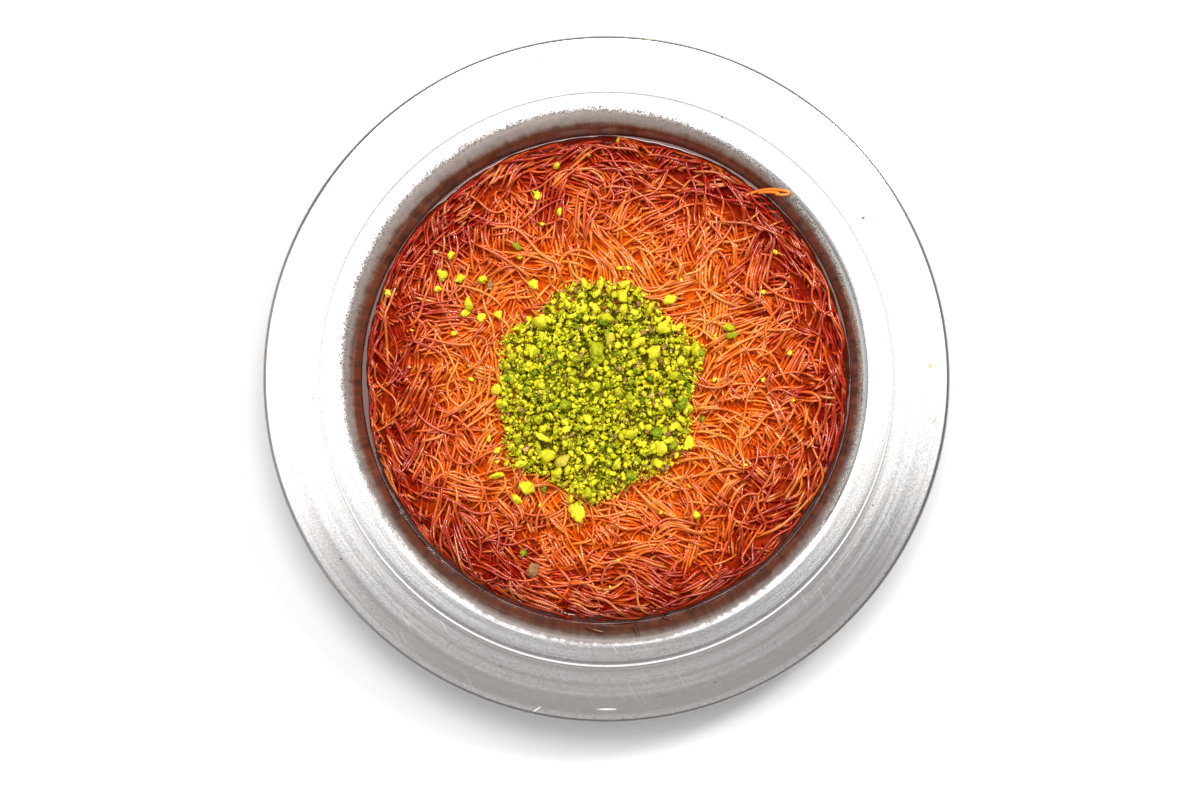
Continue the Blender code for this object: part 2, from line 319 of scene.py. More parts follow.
def run(start, end, steps):
    """Points evenly along a straight stretch, after its start."""
    share = (np.arange(1, steps + 1) / steps)[:, None]
    return np.array(start) * (1 - share) + np.array(end) * share


def wall_radius(height):
    """The inner radius of the dish's straight wall at a height."""
    foot_radius = BASE_FLAT_RADIUS + BASE_CORNER * math.sin(WALL_STEEPNESS)
    foot_height = SHEET + BASE_CORNER * (1 - math.cos(WALL_STEEPNESS))
    return foot_radius + (height - foot_height) * math.tan(WALL_DRAFT)


def swell(angle):
    """How far the pastry's edge strays from a true circle, as a factor."""
    return 1 + sum(height * np.sin(count * angle + phase) for count, height, phase in PASTRY_WAVES)


def pastry_edge(angle):
    """How far out the outermost strands lie: past the body, most at the far and the near side."""
    return PASTRY_RADIUS * swell(angle) + (0.10 + 0.45 * np.abs(np.sin(angle)) ** 3) * MM


def heap_edge(angle):
    """The heap's uneven outline: its reach from the heap's centre in each direction."""
    lobes = sum(height * np.cos(count * (angle - towards)) for count, height, towards in HEAP_LOBES)
    return HEAP_RADIUS * (1 + lobes)


def heap_place(angle, share):
    """The place in a direction from the heap's centre, at a share of the heap's reach there."""
    reach = heap_edge(angle) * share
    return HEAP_CENTRE[0] + reach * np.cos(angle), HEAP_CENTRE[1] + reach * np.sin(angle)


def heap_share(x, y):
    """Distance from the heap's centre as a share of its reach in that direction."""
    dx = x - HEAP_CENTRE[0]
    dy = y - HEAP_CENTRE[1]
    return np.hypot(dx, dy) / heap_edge(np.arctan2(dy, dx))


def at_pixel(column, row, height):
    """The place at a height that the photograph shows at a pixel."""
    reach = (CAMERA_PLACE[2] - height) / FOCAL_PIXELS
    x = CAMERA_PLACE[0] + (np.asarray(column) - PHOTO_WIDTH / 2) * reach
    y = CAMERA_PLACE[1] - (np.asarray(row) - PHOTO_HEIGHT / 2) * reach
    return x, y


# Finishes

# Marks on the flange, and one painted highlight near the rim: pixel, length and width in mm, direction in
# degrees, strength, colour
FLANGE_HEIGHT = 19.4 * MM
FLANGE_MARKS_AND_HIGHLIGHT = (
    (930, 366, 1.7, 1.5, 0, 0.80, (0.80, 0.48, 0.16)),
    (930, 371, 4.6, 2.6, 80, 0.15, (0.97, 0.93, 0.62)),
    (927, 416, 8.0, 3.6, 75, 0.25, (0.78, 0.60, 0.50)),
    (934, 421, 3.0, 0.5, 50, 0.70, (0.30, 0.22, 0.18)),
    (863, 218, 1.4, 0.7, 35, 0.90, (0.05, 0.04, 0.04)),
    (722, 117, 0.8, 0.7, 0, 0.90, (0.05, 0.05, 0.05)),
    (341, 559, 0.8, 0.8, 0, 0.90, (0.05, 0.05, 0.05)),
    (648, 40, 3.4, 1.4, 10, 0.45, (0.90, 0.70, 0.34)),
    (366, 566, 9.0, 3.0, 120, 0.15, (0.98, 0.90, 0.74)),
    (537, 709, 3.6, 0.5, 35, 0.95, (1.0, 1.0, 1.0)),
    (524, 713, 5.0, 0.4, 20, 0.70, (0.20, 0.19, 0.19)),
    # A painted highlight near the near rim, not a mark
    (607, 709, 7.0, 0.8, 0, 0.85, (1.0, 0.97, 0.84)),
)


def spun_aluminium():
    """Spun aluminium with wear: fine rings and wiping scratches, pits by the lip, caramel on the wall.

    The stain's edge lies where the radius, wavering, less a reach that depends on the direction passes
    a set number of millimetres. Brown film ends there first, then a grey haze, in which the pits lie.
    Painted shade darkens the sunk rings on the near side, the step and its inner corner, and the rolled
    edge;
    a painted orange-red light lies on the wall by the syrup, and one painted highlight near the rim.
    """
    finish = Finish("spun_aluminium")
    place = finish.place()
    x, y, z = finish.split(place)
    radius = (x * x + y * y) ** 0.5
    round_x = x / radius.at_least(0.001)
    round_y = y / radius.at_least(0.001)

    def ringed(across, around, detail, roughness=0.5):
        """Noise drawn out along circles, by its scale across them and round them."""
        place_on_rings = finish.join(radius * across, round_x * around, round_y * around)
        return finish.noise(place_on_rings, 1.0, detail, roughness)

    rings = ringed(1500, 1.6, 3.0, 0.6)
    broad_rings = ringed(260, 0.8, 2.0)
    grain = finish.noise(place, 1600.0, 2.0, 0.7)
    clouds = finish.noise(place, 38.0, 3.0, 0.6)
    wiped = finish.noise(finish.join(x * 900 + y * 520, x * 26 - y * 45, z), 1.0, 2.0, 0.6)
    scratches = wiped.above(0.60, 0.72) * clouds.above(0.42, 0.60)
    hatch = ringed(2600, 70, 2.0, 0.6)
    specks = finish.noise(place, 620.0, 1.0).above(0.780, 0.800)
    dashes = ringed(2400, 9, 2.0, 0.6).above(0.66, 0.71) * clouds.above(0.48, 0.62)

    runs = finish.noise(finish.join(round_x * 30, round_y * 30, radius * 60), 1.0, 4.0, 0.65)
    bands = ringed(900, 3, 3.0, 0.6)
    blots = finish.noise(place, 420.0, 3.0, 0.65)
    reach = round_y * 0.64 - round_x * 1.44 - round_x * round_x * 2.65
    reach = reach - round_x * round_y * 1.54 + 0.90
    near_side = (0 - round_y).above(0.05, 0.85)
    waver = (runs - 0.5) * 1.6 + (bands - 0.5) * 1.6 + (blots - 0.5) * 1.8
    stained = radius * 1000 + waver - reach
    filmed = radius * 1000 + waver * 1.1 - (reach + 1.2) * (0.4 - round_y * 0.2)
    underside = z.below(0.0168, 0.0176) * radius.above(0.0840, 0.0850)
    upper = z.above(0.0040, 0.0050) * (1 - underside)
    film = filmed.below(78.6, 80.6) * upper
    haze = stained.below(81.7, 83.3) * upper
    pits = finish.noise(place, 1900.0, 1.0, 0.6).above(0.52, 0.62)
    pitted = pits * stained.above(80.6, 82.0) * stained.below(82.9, 83.5) * upper
    pitted = pitted * (1 - near_side * 0.85)

    # Painted shade: the sunk rings are darkened on the near side only.
    sunk_ring_shade = finish.attribute("sunk") * (0.35 + broad_rings * 0.7) * near_side
    # Painted shade: the step's inner corner, darkest on the near side, and the step itself are darkened.
    step_corner_shade = radius.above(0.0877, 0.0881) * radius.below(0.0886, 0.0889) * (near_side * 0.75 + 0.1)
    step_shade_line = radius.above(0.0887, 0.0890) * radius.below(0.0899, 0.0902)
    # Painted shade: the rolled edge is darkened all round.
    rim_edge_shade = radius.above(0.1058, 0.1065)
    bright = finish.layered(
        finish.mix(rings, (0.75, 0.74, 0.735), (0.86, 0.85, 0.845)),
        (sunk_ring_shade, (0.48, 0.455, 0.445)),
        (grain.above(0.44, 0.64) * 0.48, (0.50, 0.475, 0.465)),
        (broad_rings.above(0.42, 0.60) * 0.26, (0.56, 0.545, 0.535)),
        (hatch.above(0.48, 0.66) * 0.45, (0.48, 0.46, 0.45)),
        (clouds.above(0.50, 0.75) * 0.30, (0.66, 0.60, 0.55)),
        (dashes * 0.55, (0.36, 0.35, 0.34)),
        (scratches * 0.5, (0.93, 0.93, 0.93)),
        (specks * 0.8, (0.09, 0.075, 0.065)),
        (step_corner_shade * (0.35 + runs * 0.6), (0.24, 0.22, 0.21)),
        (step_shade_line * 0.45, (0.36, 0.355, 0.35)),
        (rim_edge_shade * 0.70, (0.17, 0.165, 0.16)),
    )
    marks_and_highlight = 0.0
    for column, row, length, width, degrees, strength, colour in FLANGE_MARKS_AND_HIGHLIGHT:
        mark_x, mark_y = at_pixel(column, row, FLANGE_HEIGHT)
        across_x, across_y = math.cos(math.radians(degrees)), math.sin(math.radians(degrees))
        along = ((x - mark_x) * across_x + (y - mark_y) * across_y) * (2000 / length)
        aside = ((y - mark_y) * across_x - (x - mark_x) * across_y) * (2000 / width)
        spot = (along * along + aside * aside + (blots - 0.5) * 1.2).below(0.35, 1.0) * strength
        bright = finish.mix(spot, bright, colour)
        marks_and_highlight = spot + marks_and_highlight
    hazy = finish.mix(blots, (0.155, 0.112, 0.092), (0.345, 0.275, 0.245))
    # The haze here, and the brown film below, are made darker on the near side.
    hazy = finish.mix(near_side * 0.75, hazy, (0.12, 0.086, 0.072))
    bright = finish.layered(bright, (haze * 0.92, hazy), (pitted * 0.80, (0.10, 0.075, 0.062)))
    burnt = (runs * 0.4 + bands * 0.6).above(0.38, 0.62)
    # Painted light: a bright orange-red on the wall just above the syrup, weaker on the near side.
    painted_glow = radius.below(0.0780, 0.0795) * runs.above(0.40, 0.60) * (1 - near_side * 0.6)
    brown = finish.layered(
        finish.mix(burnt, (0.092, 0.023, 0.008), (0.200, 0.082, 0.047)),
        (near_side * 0.60, (0.060, 0.028, 0.018)),
        (painted_glow * 0.8, (0.34, 0.050, 0.010)),
    )
    colour = finish.mix(film * 0.94, bright, brown)

    roughness = 0.11 + rings * 0.06 + grain * 0.05 + pitted * 0.2 - scratches * 0.03
    height = rings * 0.35 + broad_rings * 0.8 + grain * 0.25 - pitted * 2.0 + scratches * 0.25
    finish.shade(
        Base_Color=colour,
        Metallic=(1 - haze * 0.92 - film * 0.30 - marks_and_highlight * 0.9).at_least(0.0),
        Roughness=roughness + haze * 0.16,
        Normal=finish.bump(height, 0.00003),
    )
    return finish


def toasted_strands():
    """Shredded pastry fried in butter and soaked in syrup: orange by the middle, red-brown at the rim."""
    finish = Finish("toasted_strands")
    place = finish.place()
    toast = finish.attribute("toast")
    tone = finish.attribute("tone")
    painted_shade = finish.attribute("painted_shade")
    streaks = finish.noise(place, 900.0, 2.0, 0.6)
    patches = finish.noise(place, 160.0, 2.0, 0.5)
    level = (toast + (patches - 0.5) * 0.35 + (streaks - 0.5) * 0.25).at_least(0.0).at_most(1.0)
    pale = finish.mix(level.above(0.0, 0.5), (0.98, 0.280, 0.012), (0.88, 0.135, 0.006))
    shade = finish.mix(level.above(0.1, 0.9), (0.98, 0.160, 0.001), (0.36, 0.006, 0.0005))
    colour = finish.layered(
        pale,
        (level.above(0.45, 1.0), (0.46, 0.019, 0.002)),
        (tone.above(0.62, 1.0) * 0.50, (0.98, 0.38, 0.060)),
        (tone.below(0.0, 0.34) * 0.55, (0.34, 0.014, 0.002)),
        # Painted shade: strands that lie low in the mat, and those by the rim, turn this darker red.
        (painted_shade.above(0.15, 0.85) * 0.80, shade),
        # burnt: burnt bits on the stray strands, and painted shade at the pastry's far and near edge.
        (finish.attribute("burnt"), (0.060, 0.014, 0.005)),
    )
    finish.shade(
        Base_Color=colour,
        Roughness=0.20 + streaks * 0.15,
        Normal=finish.bump(streaks + patches * 0.5, 0.00006),
        Coat_Weight=(1 - painted_shade.above(0.12, 0.62)) * (0.45 + streaks * 1.1).at_most(1.0),
        Coat_Roughness=0.15,
        Coat_IOR=1.65,
        IOR=1.5,
        Specular_IOR_Level=0.25,
        Specular_Tint=(1.0, 0.60, 0.45, 1.0),
    )
    return finish


def soaked_shaded_core():
    """The pressed strands below the top ones: wet and dark red, partly from the syrup and partly as painted
    shade.
    """
    finish = Finish("soaked_shaded_core")
    place = finish.place()
    toast = finish.attribute("toast")
    strands = finish.noise(place, 700.0, 3.0, 0.6)
    inner = finish.mix(strands, (0.72, 0.065, 0.001), (0.95, 0.135, 0.001))
    outer = finish.mix(strands, (0.17, 0.002, 0.0005), (0.38, 0.009, 0.0005))
    finish.shade(
        Base_Color=finish.mix(toast, inner, outer),
        Roughness=0.30 + strands * 0.2,
        Normal=finish.bump(strands, 0.0003),
        Specular_IOR_Level=0.04,
    )
    return finish


def dark_syrup():
    """Syrup stained by the pastry: almost black in depth, amber where it thins."""
    finish = Finish("dark_syrup")
    place = finish.place()
    thin = finish.attribute("thin")
    swirl = finish.noise(place, 260.0, 2.0, 0.5)
    colour = finish.layered(
        finish.mix(swirl, (0.016, 0.0035, 0.0015), (0.040, 0.0080, 0.0030)),
        (thin.above(0.2, 0.9), (0.10, 0.016, 0.005)),
        (thin.above(1.0, 1.7), (0.10, 0.006, 0.001)),
    )
    finish.shade(
        Base_Color=colour,
        Roughness=0.06 + swirl * 0.06,
        Normal=finish.bump(finish.noise(place, 420.0, 1.0), 0.00006),
        IOR=2.1,
        Specular_Tint=(1.0, 0.72, 0.68, 1.0),
    )
    return finish


def crushed_pistachio():
    """Crushed nut: yellow to green by the piece, with bits of purple-brown skin (1) and pale skin (2)."""
    finish = Finish("crushed_pistachio")
    place = finish.place()
    tone = finish.attribute("tone")
    skin = finish.attribute("skin")
    mottle = finish.noise(place, 1300.0, 3.0, 0.65)
    level = (tone + (mottle - 0.5) * 0.85).at_least(0.0).at_most(1.0)
    skins = finish.mix(mottle, (0.24, 0.075, 0.045), (0.62, 0.36, 0.13))
    colour = finish.layered(
        finish.mix(level.above(0.0, 0.42), (0.19, 0.30, 0.010), (0.70, 0.67, 0.014)),
        (level.above(0.32, 0.85), (1.0, 0.90, 0.040)),
        (skin, skins),
        (skin.above(1.2, 1.8) * 0.85, (0.78, 0.56, 0.20)),
        # Painted shade: crumbs that lie low in the heap, and the mound under them, turn dark olive.
        (finish.attribute("painted_shade") * 0.75, (0.26, 0.175, 0.003)),
    )
    finish.shade(
        Base_Color=colour,
        Roughness=0.45 + mottle * 0.2,
        Normal=finish.bump(mottle, 0.0004),
        Specular_IOR_Level=0.16,
    )
    return finish


# The dish


def dish_profile():
    """The sheet's upper side as (radius, height) rows, from its centre to its rolled edge.

    Straight runs joined by arcs, with the low ridges of spun_ridges added to the heights.
    """
    corner_steps = 8
    slopes = WALL_STEEPNESS * np.arange(1, corner_steps + 1) / corner_steps
    corner_across = BASE_FLAT_RADIUS + BASE_CORNER * np.sin(slopes)
    corner = np.stack((corner_across, SHEET + BASE_CORNER * (1 - np.cos(slopes))), -1)
    lip_start = (wall_radius(LIP_START_HEIGHT), LIP_START_HEIGHT)
    lip = bend(lip_start, LIP_RADIUS, WALL_STEEPNESS, INNER_BAND_SLOPE, 12)
    step_low = lip[-1, 1] + (STEP_RADIUS - lip[-1, 0]) * math.tan(INNER_BAND_SLOPE)
    step_before = (STEP_RADIUS, step_low)
    step_start = (STEP_RADIUS + STEP_FLAT, step_low)
    step_end = (STEP_RADIUS + STEP_WIDTH, step_low + STEP_HEIGHT)
    step_top = (step_end[0] - STEP_FLAT, step_end[1])
    roll_radius = DISH_RADIUS - EDGE_ROLL * (math.sin(OUTER_BAND_SLOPE) + math.sin(EDGE_TURN))
    roll_start = (roll_radius, step_end[1] + (roll_radius - step_end[0]) * math.tan(OUTER_BAND_SLOPE))
    rows = [
        np.array(((0.0, SHEET), (20 * MM, SHEET), (45 * MM, SHEET), (BASE_FLAT_RADIUS, SHEET))),
        corner,
        run(corner[-1], lip_start, 14),
        lip,
        run(lip[-1], step_before, 12),
        run(step_before, step_start, 3),
        run(step_start, step_top, 5),
        run(step_top, step_end, 3),
        run(step_end, roll_start, 62),
        bend(roll_start, EDGE_ROLL, OUTER_BAND_SLOPE, -EDGE_TURN, 10),
    ]
    profile = np.concatenate(rows)
    profile[:, 1] += spun_ridges(profile[:, 0])
    return profile


# Ridges (raised) and grooves (sunk) left by the spinning tool: radius, half width and height in mm
SPUN_RINGS = (
    (84.9, 0.6, -0.005),
    (87.0, 0.7, 0.005),
    (91.0, 0.9, -0.015),
    (93.4, 0.4, 0.005),
    (95.3, 0.7, -0.013),
    (97.2, 0.4, -0.005),
    (98.4, 0.4, 0.005),
    (101.5, 2.4, -0.030),
    (100.2, 0.4, -0.005),
    (103.9, 0.5, -0.007),
)


def spun_ridges(radius):
    """The ridges' heights: a sum of bell curves, height * exp(-((radius - at) / width)^2)."""
    ridges = [(at * MM, width * MM, height * MM) for at, width, height in SPUN_RINGS]
    return sum(height * np.exp(-(((radius - at) / width) ** 2)) for at, width, height in ridges)


def dish_piece(finish):
    """The upper side and the same profile set back by the sheet's thickness, turned together.

    The rim wavers a little, as much-used sheet does: up to 0.14 mm, a sum of three waves round it that grows
    over the outer fifth of the radius.
    """
    upper = dish_profile()
    along = np.gradient(upper, axis=0)
    along /= np.linalg.norm(along, axis=1)[:, None]
    facing = np.stack((-along[:, 1], along[:, 0]), -1)
    facing[0] = (0.0, 1.0)
    lower = upper - facing * SHEET
    lower[:, 1] = np.maximum(lower[:, 1], 0.0)
    lower[0, 0] = 0.0
    keep = np.arange(len(lower)) % 2 == 0
    keep[0] = True
    loop = np.concatenate((lower[keep], upper[::-1]))
    points, faces = turned(loop, DISH_SEGMENTS)
    angle = np.arctan2(points[:, 1], points[:, 0])
    radius = np.hypot(points[:, 0], points[:, 1])
    waver = 0.06 * np.sin(2 * angle + 0.7) + 0.05 * np.sin(5 * angle + 2.0) + 0.03 * np.sin(11 * angle)
    points[:, 2] += waver * MM * smooth_rise(np.clip(radius / DISH_RADIUS, 0, 1), 0.80, 1.0)
    sunk = np.clip(-spun_ridges(radius) / FULLY_SUNK, 0, 1)
    piece = mesh_piece("dish_spun", finish, points, faces, {"sunk": sunk})
    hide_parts("dish")


# The pastry

GRID_CELL = 0.3 * MM
GRID_HALF = 78 * MM
SHOULDER_WIDTH = 3.8 * MM
SHOULDER_DROP = 1.35 * MM


class Heights:
    """A map of how high things are heaped at each place, in metres above the ground they lie on."""

    def __init__(self, cell=GRID_CELL, half=GRID_HALF):
        self.cell = cell
        self.half = half
        self.count = int(2 * half / cell)
        self.level = np.zeros((self.count, self.count))

    def index(self, x):
        return np.clip(((x + self.half) / self.cell).astype(int), 0, self.count - 1)

    def places(self):
        """The middle of each cell, as two arrays."""
        line = (np.arange(self.count) + 0.5) * self.cell - self.half
        return np.meshgrid(line, line)

    def at(self, x, y):
        return self.level[self.index(y), self.index(x)]

    def raise_to(self, x, y, top):
        np.maximum.at(self.level, (self.index(y), self.index(x)), top)


def blurred(image, cells):
    """A map blurred by a bell curve of that half width in cells, through its Fourier transform."""
    fall_rows = np.exp(-2 * (math.pi * cells * np.fft.fftfreq(image.shape[0])) ** 2)
    fall_columns = np.exp(-2 * (math.pi * cells * np.fft.rfftfreq(image.shape[1])) ** 2)
    return np.fft.irfft2(np.fft.rfft2(image) * fall_rows[:, None] * fall_columns, image.shape)


def pastry_crown(x, y):
    """The height of the pastry's top: level, gently uneven, and bent down over its shoulder."""
    radius = np.hypot(x, y) / swell(np.arctan2(y, x))
    uneven = 0.35 * ripple(x, y, 32 * MM, 3) + 0.22 * ripple(x, y, 12 * MM, 4)
    over = np.clip((radius - (PASTRY_RADIUS - SHOULDER_WIDTH)) / SHOULDER_WIDTH, 0, 1)
    drop = SHOULDER_DROP * (1 - np.sqrt(1 - 0.98 * over * over))
    return PASTRY_TOP + 0.55 * MM + uneven * MM * (1 - over) - drop


def toasting(x, y):
    """How brown the pastry is: 0 by the middle, 1 at the rim, with patches."""
    reach = np.hypot(x - 0.5 * MM, y + 1 * MM)
    patches = 0.13 * ripple(x, y, 26 * MM, 21) + 0.09 * ripple(x, y, 9 * MM, 22)
    return np.clip(0.05 + 0.92 * smooth_rise(reach, 28 * MM, 80 * MM) + patches, 0, 1)


# Strands: the ranges of their radii, of the number in a tuft and of their lengths in mm, and their counts
THREAD_STATIONS = 12
THREAD_SIDES = 5
THREAD_RADII = (0.37, 0.52)
TUFT_SIZES = (4, 11)
TUFT_LENGTHS = (7, 19)
SINGLE_LENGTHS = (8, 27)
UNDER_TUFTS = 640
TOP_TUFTS = 480
TOP_SINGLES = 1350
EDGE_TUFTS = 60
EDGE_SINGLES = 400
EDGE_START = 0.965
# How flat the mat is pressed, how far a strand sinks into the ones below, and from what depth none is seen
THREAD_PRESS = 0.62
THREAD_SUNK = 0.30
BURIED_DEPTH = 1.05 * MM
GOLDEN_ANGLE = math.pi * (3 - math.sqrt(5))


def thread_paths(draw, tufts, singles, inner=0.0, outer=PASTRY_RADIUS - 1.2 * MM):
    """Paths of strands as arrays of (strand, station), for x and y, each tuft's strands side by side.

    Tufts and singles are spread evenly as the seeds of a sunflower are, from a share of the outer radius
    to all of it. A strand's heading changes evenly along it, plus one slow wave. Those that would run out
    past the rim are turned along it and bent to it.
    """
    sizes = np.concatenate((draw.integers(*TUFT_SIZES, tufts), np.ones(singles, int)))
    single = sizes == 1
    total = len(sizes)
    evenly = np.concatenate([(np.arange(part) + 0.5) / max(part, 1) for part in (tufts, singles)])
    radius = outer * np.sqrt(inner**2 + (1 - inner**2) * evenly)
    around = np.arange(total) * GOLDEN_ANGLE + draw.normal(0, 0.03, total)
    heading = draw.uniform(0, 2 * math.pi, total)
    lengths = (draw.uniform(*SINGLE_LENGTHS, total), draw.uniform(*TUFT_LENGTHS, total))
    length = np.where(single, *lengths) * MM
    turn = np.where(single, draw.normal(0, 72, total), draw.normal(0, 30, total))
    waves = np.where(single, draw.normal(0, 0.42, total), draw.normal(0, 0.16, total))
    out = np.clip((radius + 0.5 * length - PASTRY_RADIUS + 5 * MM) / (13 * MM), 0, 1)
    tangent = around + math.pi / 2
    tangent += math.pi * np.round((heading - tangent) / math.pi)
    heading = heading * (1 - out) + (tangent + draw.normal(0, 0.20, total)) * out
    sense = np.sign(np.cos(heading - around - math.pi / 2))
    turn = turn * (1 - out) + sense / np.maximum(radius, 20 * MM) * out

    order = draw.permutation(total)
    tuft = np.repeat(order, sizes[order])
    place_in_tuft = np.concatenate([np.arange(sizes[i]) - (sizes[i] - 1) / 2 for i in order])
    strands = len(tuft)
    spacing = draw.uniform(0.85, 1.20, total)[tuft] * MM
    aside = place_in_tuft * spacing + draw.normal(0, 0.14, strands) * MM
    along = draw.normal(0, 2.0, strands) * MM
    own_length = length[tuft] * np.where(single[tuft], 1.0, draw.uniform(0.55, 1.15, strands))
    own_heading = heading[tuft] + np.where(single[tuft], 0.0, draw.normal(0, 0.08, strands))
    own_turn = turn[tuft] + np.where(single[tuft], 0.0, draw.normal(0, 7.0, strands))
    share = np.linspace(-0.5, 0.5, THREAD_STATIONS)
    phase = draw.uniform(0, 2 * math.pi, total)[tuft]
    heads = own_heading[:, None] + own_turn[:, None] * own_length[:, None] * share
    heads += waves[tuft][:, None] * np.sin(2 * math.pi * share + phase[:, None])
    step = (own_length / (THREAD_STATIONS - 1))[:, None]
    x = np.cumsum(np.cos(heads), 1) * step
    y = np.cumsum(np.sin(heads), 1) * step
    middle = THREAD_STATIONS // 2
    x -= x[:, middle : middle + 1]
    y -= y[:, middle : middle + 1]
    ahead_x, ahead_y = np.cos(own_heading), np.sin(own_heading)
    x += (radius[tuft] * np.cos(around[tuft]) + along * ahead_x - aside * ahead_y)[:, None]
    y += (radius[tuft] * np.sin(around[tuft]) + along * ahead_y + aside * ahead_x)[:, None]

    reach = np.hypot(x, y)
    limit = pastry_edge(np.arctan2(y, x)) - draw.uniform(0, 0.6, strands)[:, None] * MM
    soft = 0.5 * MM
    pulled = limit - soft * np.log1p(np.exp(np.clip((limit - reach) / soft, -30, 30)))
    factor = np.where(reach > limit - 8 * soft, pulled, reach) / np.maximum(reach, 1e-6)
    return x * factor, y * factor


def lay_threads(draw, x, y, radii):
    """Heights of the strands, laid down one after another on a map of what is already there.

    Each takes the highest ground under each stretch, evened out along it as a stiff strand does.
    """
    ground = Heights()
    fine = THREAD_STATIONS * 6
    fine_share = np.linspace(0, THREAD_STATIONS - 1, fine)
    stations = np.arange(THREAD_STATIONS)
    reach = np.arange(-3, 4) * GRID_CELL
    offset_x, offset_y = [side.ravel() for side in np.meshgrid(reach, reach)]
    offset = np.hypot(offset_x, offset_y)
    kernel = np.hanning(21)
    kernel /= kernel.sum()
    heights = np.empty_like(x)
    for i in range(len(x)):
        fx = np.interp(fine_share, stations, x[i])
        fy = np.interp(fine_share, stations, y[i])
        below = np.maximum(ground.at(fx, fy), ground.at(fx + 0.2 * MM, fy + 0.2 * MM))
        padded = np.pad(below, 4, mode="edge")
        highest = np.lib.stride_tricks.sliding_window_view(padded, 9).max(1)
        evened = np.convolve(np.pad(highest, 10, mode="edge"), kernel, "valid")
        middle = evened + radii[i] * (1 - 2 * THREAD_SUNK)
        inside = offset < radii[i]
        cap = np.sqrt(radii[i] ** 2 - offset[inside] ** 2)
        px = fx[:, None] + offset_x[inside]
        py = fy[:, None] + offset_y[inside]
        ground.raise_to(px.ravel(), py.ravel(), (middle[:, None] + cap).ravel())
        heights[i] = np.interp(stations, fine_share, middle)
    return heights, ground


def tube_mesh(x, y, z, radii, sides, flatness=0.85):
    """Strands as tubes: at each station a ring round the path's direction, thinner at both ends.

    The ring is side * r cos a + rise * flatness * r sin a, where side lies level across the path.
    """
    path = np.stack((x, y, z), -1)
    along = np.gradient(path, axis=1)
    along /= np.maximum(np.linalg.norm(along, axis=2, keepdims=True), 1e-9)
    side = np.cross(UP, along)
    side /= np.maximum(np.linalg.norm(side, axis=2, keepdims=True), 1e-9)
    rise = np.cross(along, side)
    angles = np.arange(sides) * 2 * math.pi / sides
    stations = x.shape[1]
    end = np.ones(stations)
    end[[0, -1]] = 0.45
    end[[1, -2]] = 0.92
    size = radii * end
    across = size[..., None, None] * np.cos(angles)[:, None] * side[:, :, None, :]
    upward = flatness * size[..., None, None] * np.sin(angles)[:, None] * rise[:, :, None, :]
    points = (path[:, :, None, :] + across + upward).reshape(-1, 3)
    strand = np.arange(len(x))[:, None] * stations * sides
    one = turned_faces(stations, sides)
    quads = (strand[:, :, None] + one[None]).reshape(-1, 4)
    around = np.arange(sides)
    first = strand + around[::-1]
    last = strand + (stations - 1) * sides + around
    return points, [quads, np.concatenate((first, last))]


def pastry_threads(finish):
    """The mat of strands that shows, in a few pieces.

    Each point knows how toasted and how pale it is, and how much painted shade it gets: more the lower it
    lies and by the rim, and more again, as burnt, at the far and the near edge.
    """
    draw = np.random.default_rng(5)
    under = thread_paths(draw, UNDER_TUFTS, 0)
    over = thread_paths(draw, TOP_TUFTS, TOP_SINGLES)
    edge = thread_paths(draw, EDGE_TUFTS, EDGE_SINGLES, EDGE_START, PASTRY_RADIUS + 0.7 * MM)
    x, y = np.concatenate((under, edge, over), 1)
    radii = draw.uniform(*THREAD_RADII, len(x)) * MM
    raw, ground = lay_threads(draw, x, y, radii)
    inside = (np.hypot(*ground.places()) < PASTRY_RADIUS).astype(float)
    evened = blurred(ground.level * inside, 9) / np.maximum(blurred(inside, 9), 0.05)
    top = evened[ground.index(y), ground.index(x)]
    buried = (ground.at(x, y) - raw).min(1) > BURIED_DEPTH
    share = heap_share(x, y)
    rim = np.hypot(x, y) / pastry_edge(np.arctan2(y, x))
    upright = (y / PASTRY_RADIUS) ** 2
    # Painted shade: more the further a strand lies below the evened top, and by the rim.
    painted_shade = np.clip((top - raw) / (2.8 * MM), 0, 1)
    painted_shade = np.maximum(painted_shade, (0.40 + 0.25 * upright) * smooth_rise(rim, 0.955, 0.995))
    # Painted shade at the far and the near edge, stronger on the near side, carried as burnt.
    burnt = np.where(y < 0, 0.42, 0.14) * upright * smooth_rise(rim, 0.915, 0.985)
    z = pastry_crown(x, y) - 0.35 * MM + THREAD_PRESS * (raw - top)
    z -= 1.0 * MM * (1 - smooth_rise(share, 0.60, 1.0))
    shown = ~buried & (share.max(1) > 0.82)
    x, y, z, radii, painted_shade, burnt = (part[shown] for part in (x, y, z, radii, painted_shade, burnt))
    count = len(x)

    wobble = 1 + 0.07 * np.sin(np.linspace(0, 9, THREAD_STATIONS) + draw.uniform(0, 6, count)[:, None])
    own = draw.normal(0, 0.13, count)[:, None]
    toast = np.clip(toasting(x, y) + own, 0, 1)
    tone = np.broadcast_to(draw.uniform(0, 1, count)[:, None], x.shape)
    marks = {"toast": toast, "tone": tone, "painted_shade": painted_shade, "burnt": burnt}
    pieces = []
    letters = "abcde"
    for first, letter in enumerate(letters):
        chosen = np.arange(first, count, len(letters))
        own_radii = radii[chosen, None] * wobble[chosen]
        points, faces = tube_mesh(x[chosen], y[chosen], z[chosen], own_radii, THREAD_SIDES)
        attributes = {key: values[chosen] for key, values in marks.items()}
        pieces.append(mesh_piece("strands_" + letter, finish, points, faces, attributes))
    return pieces


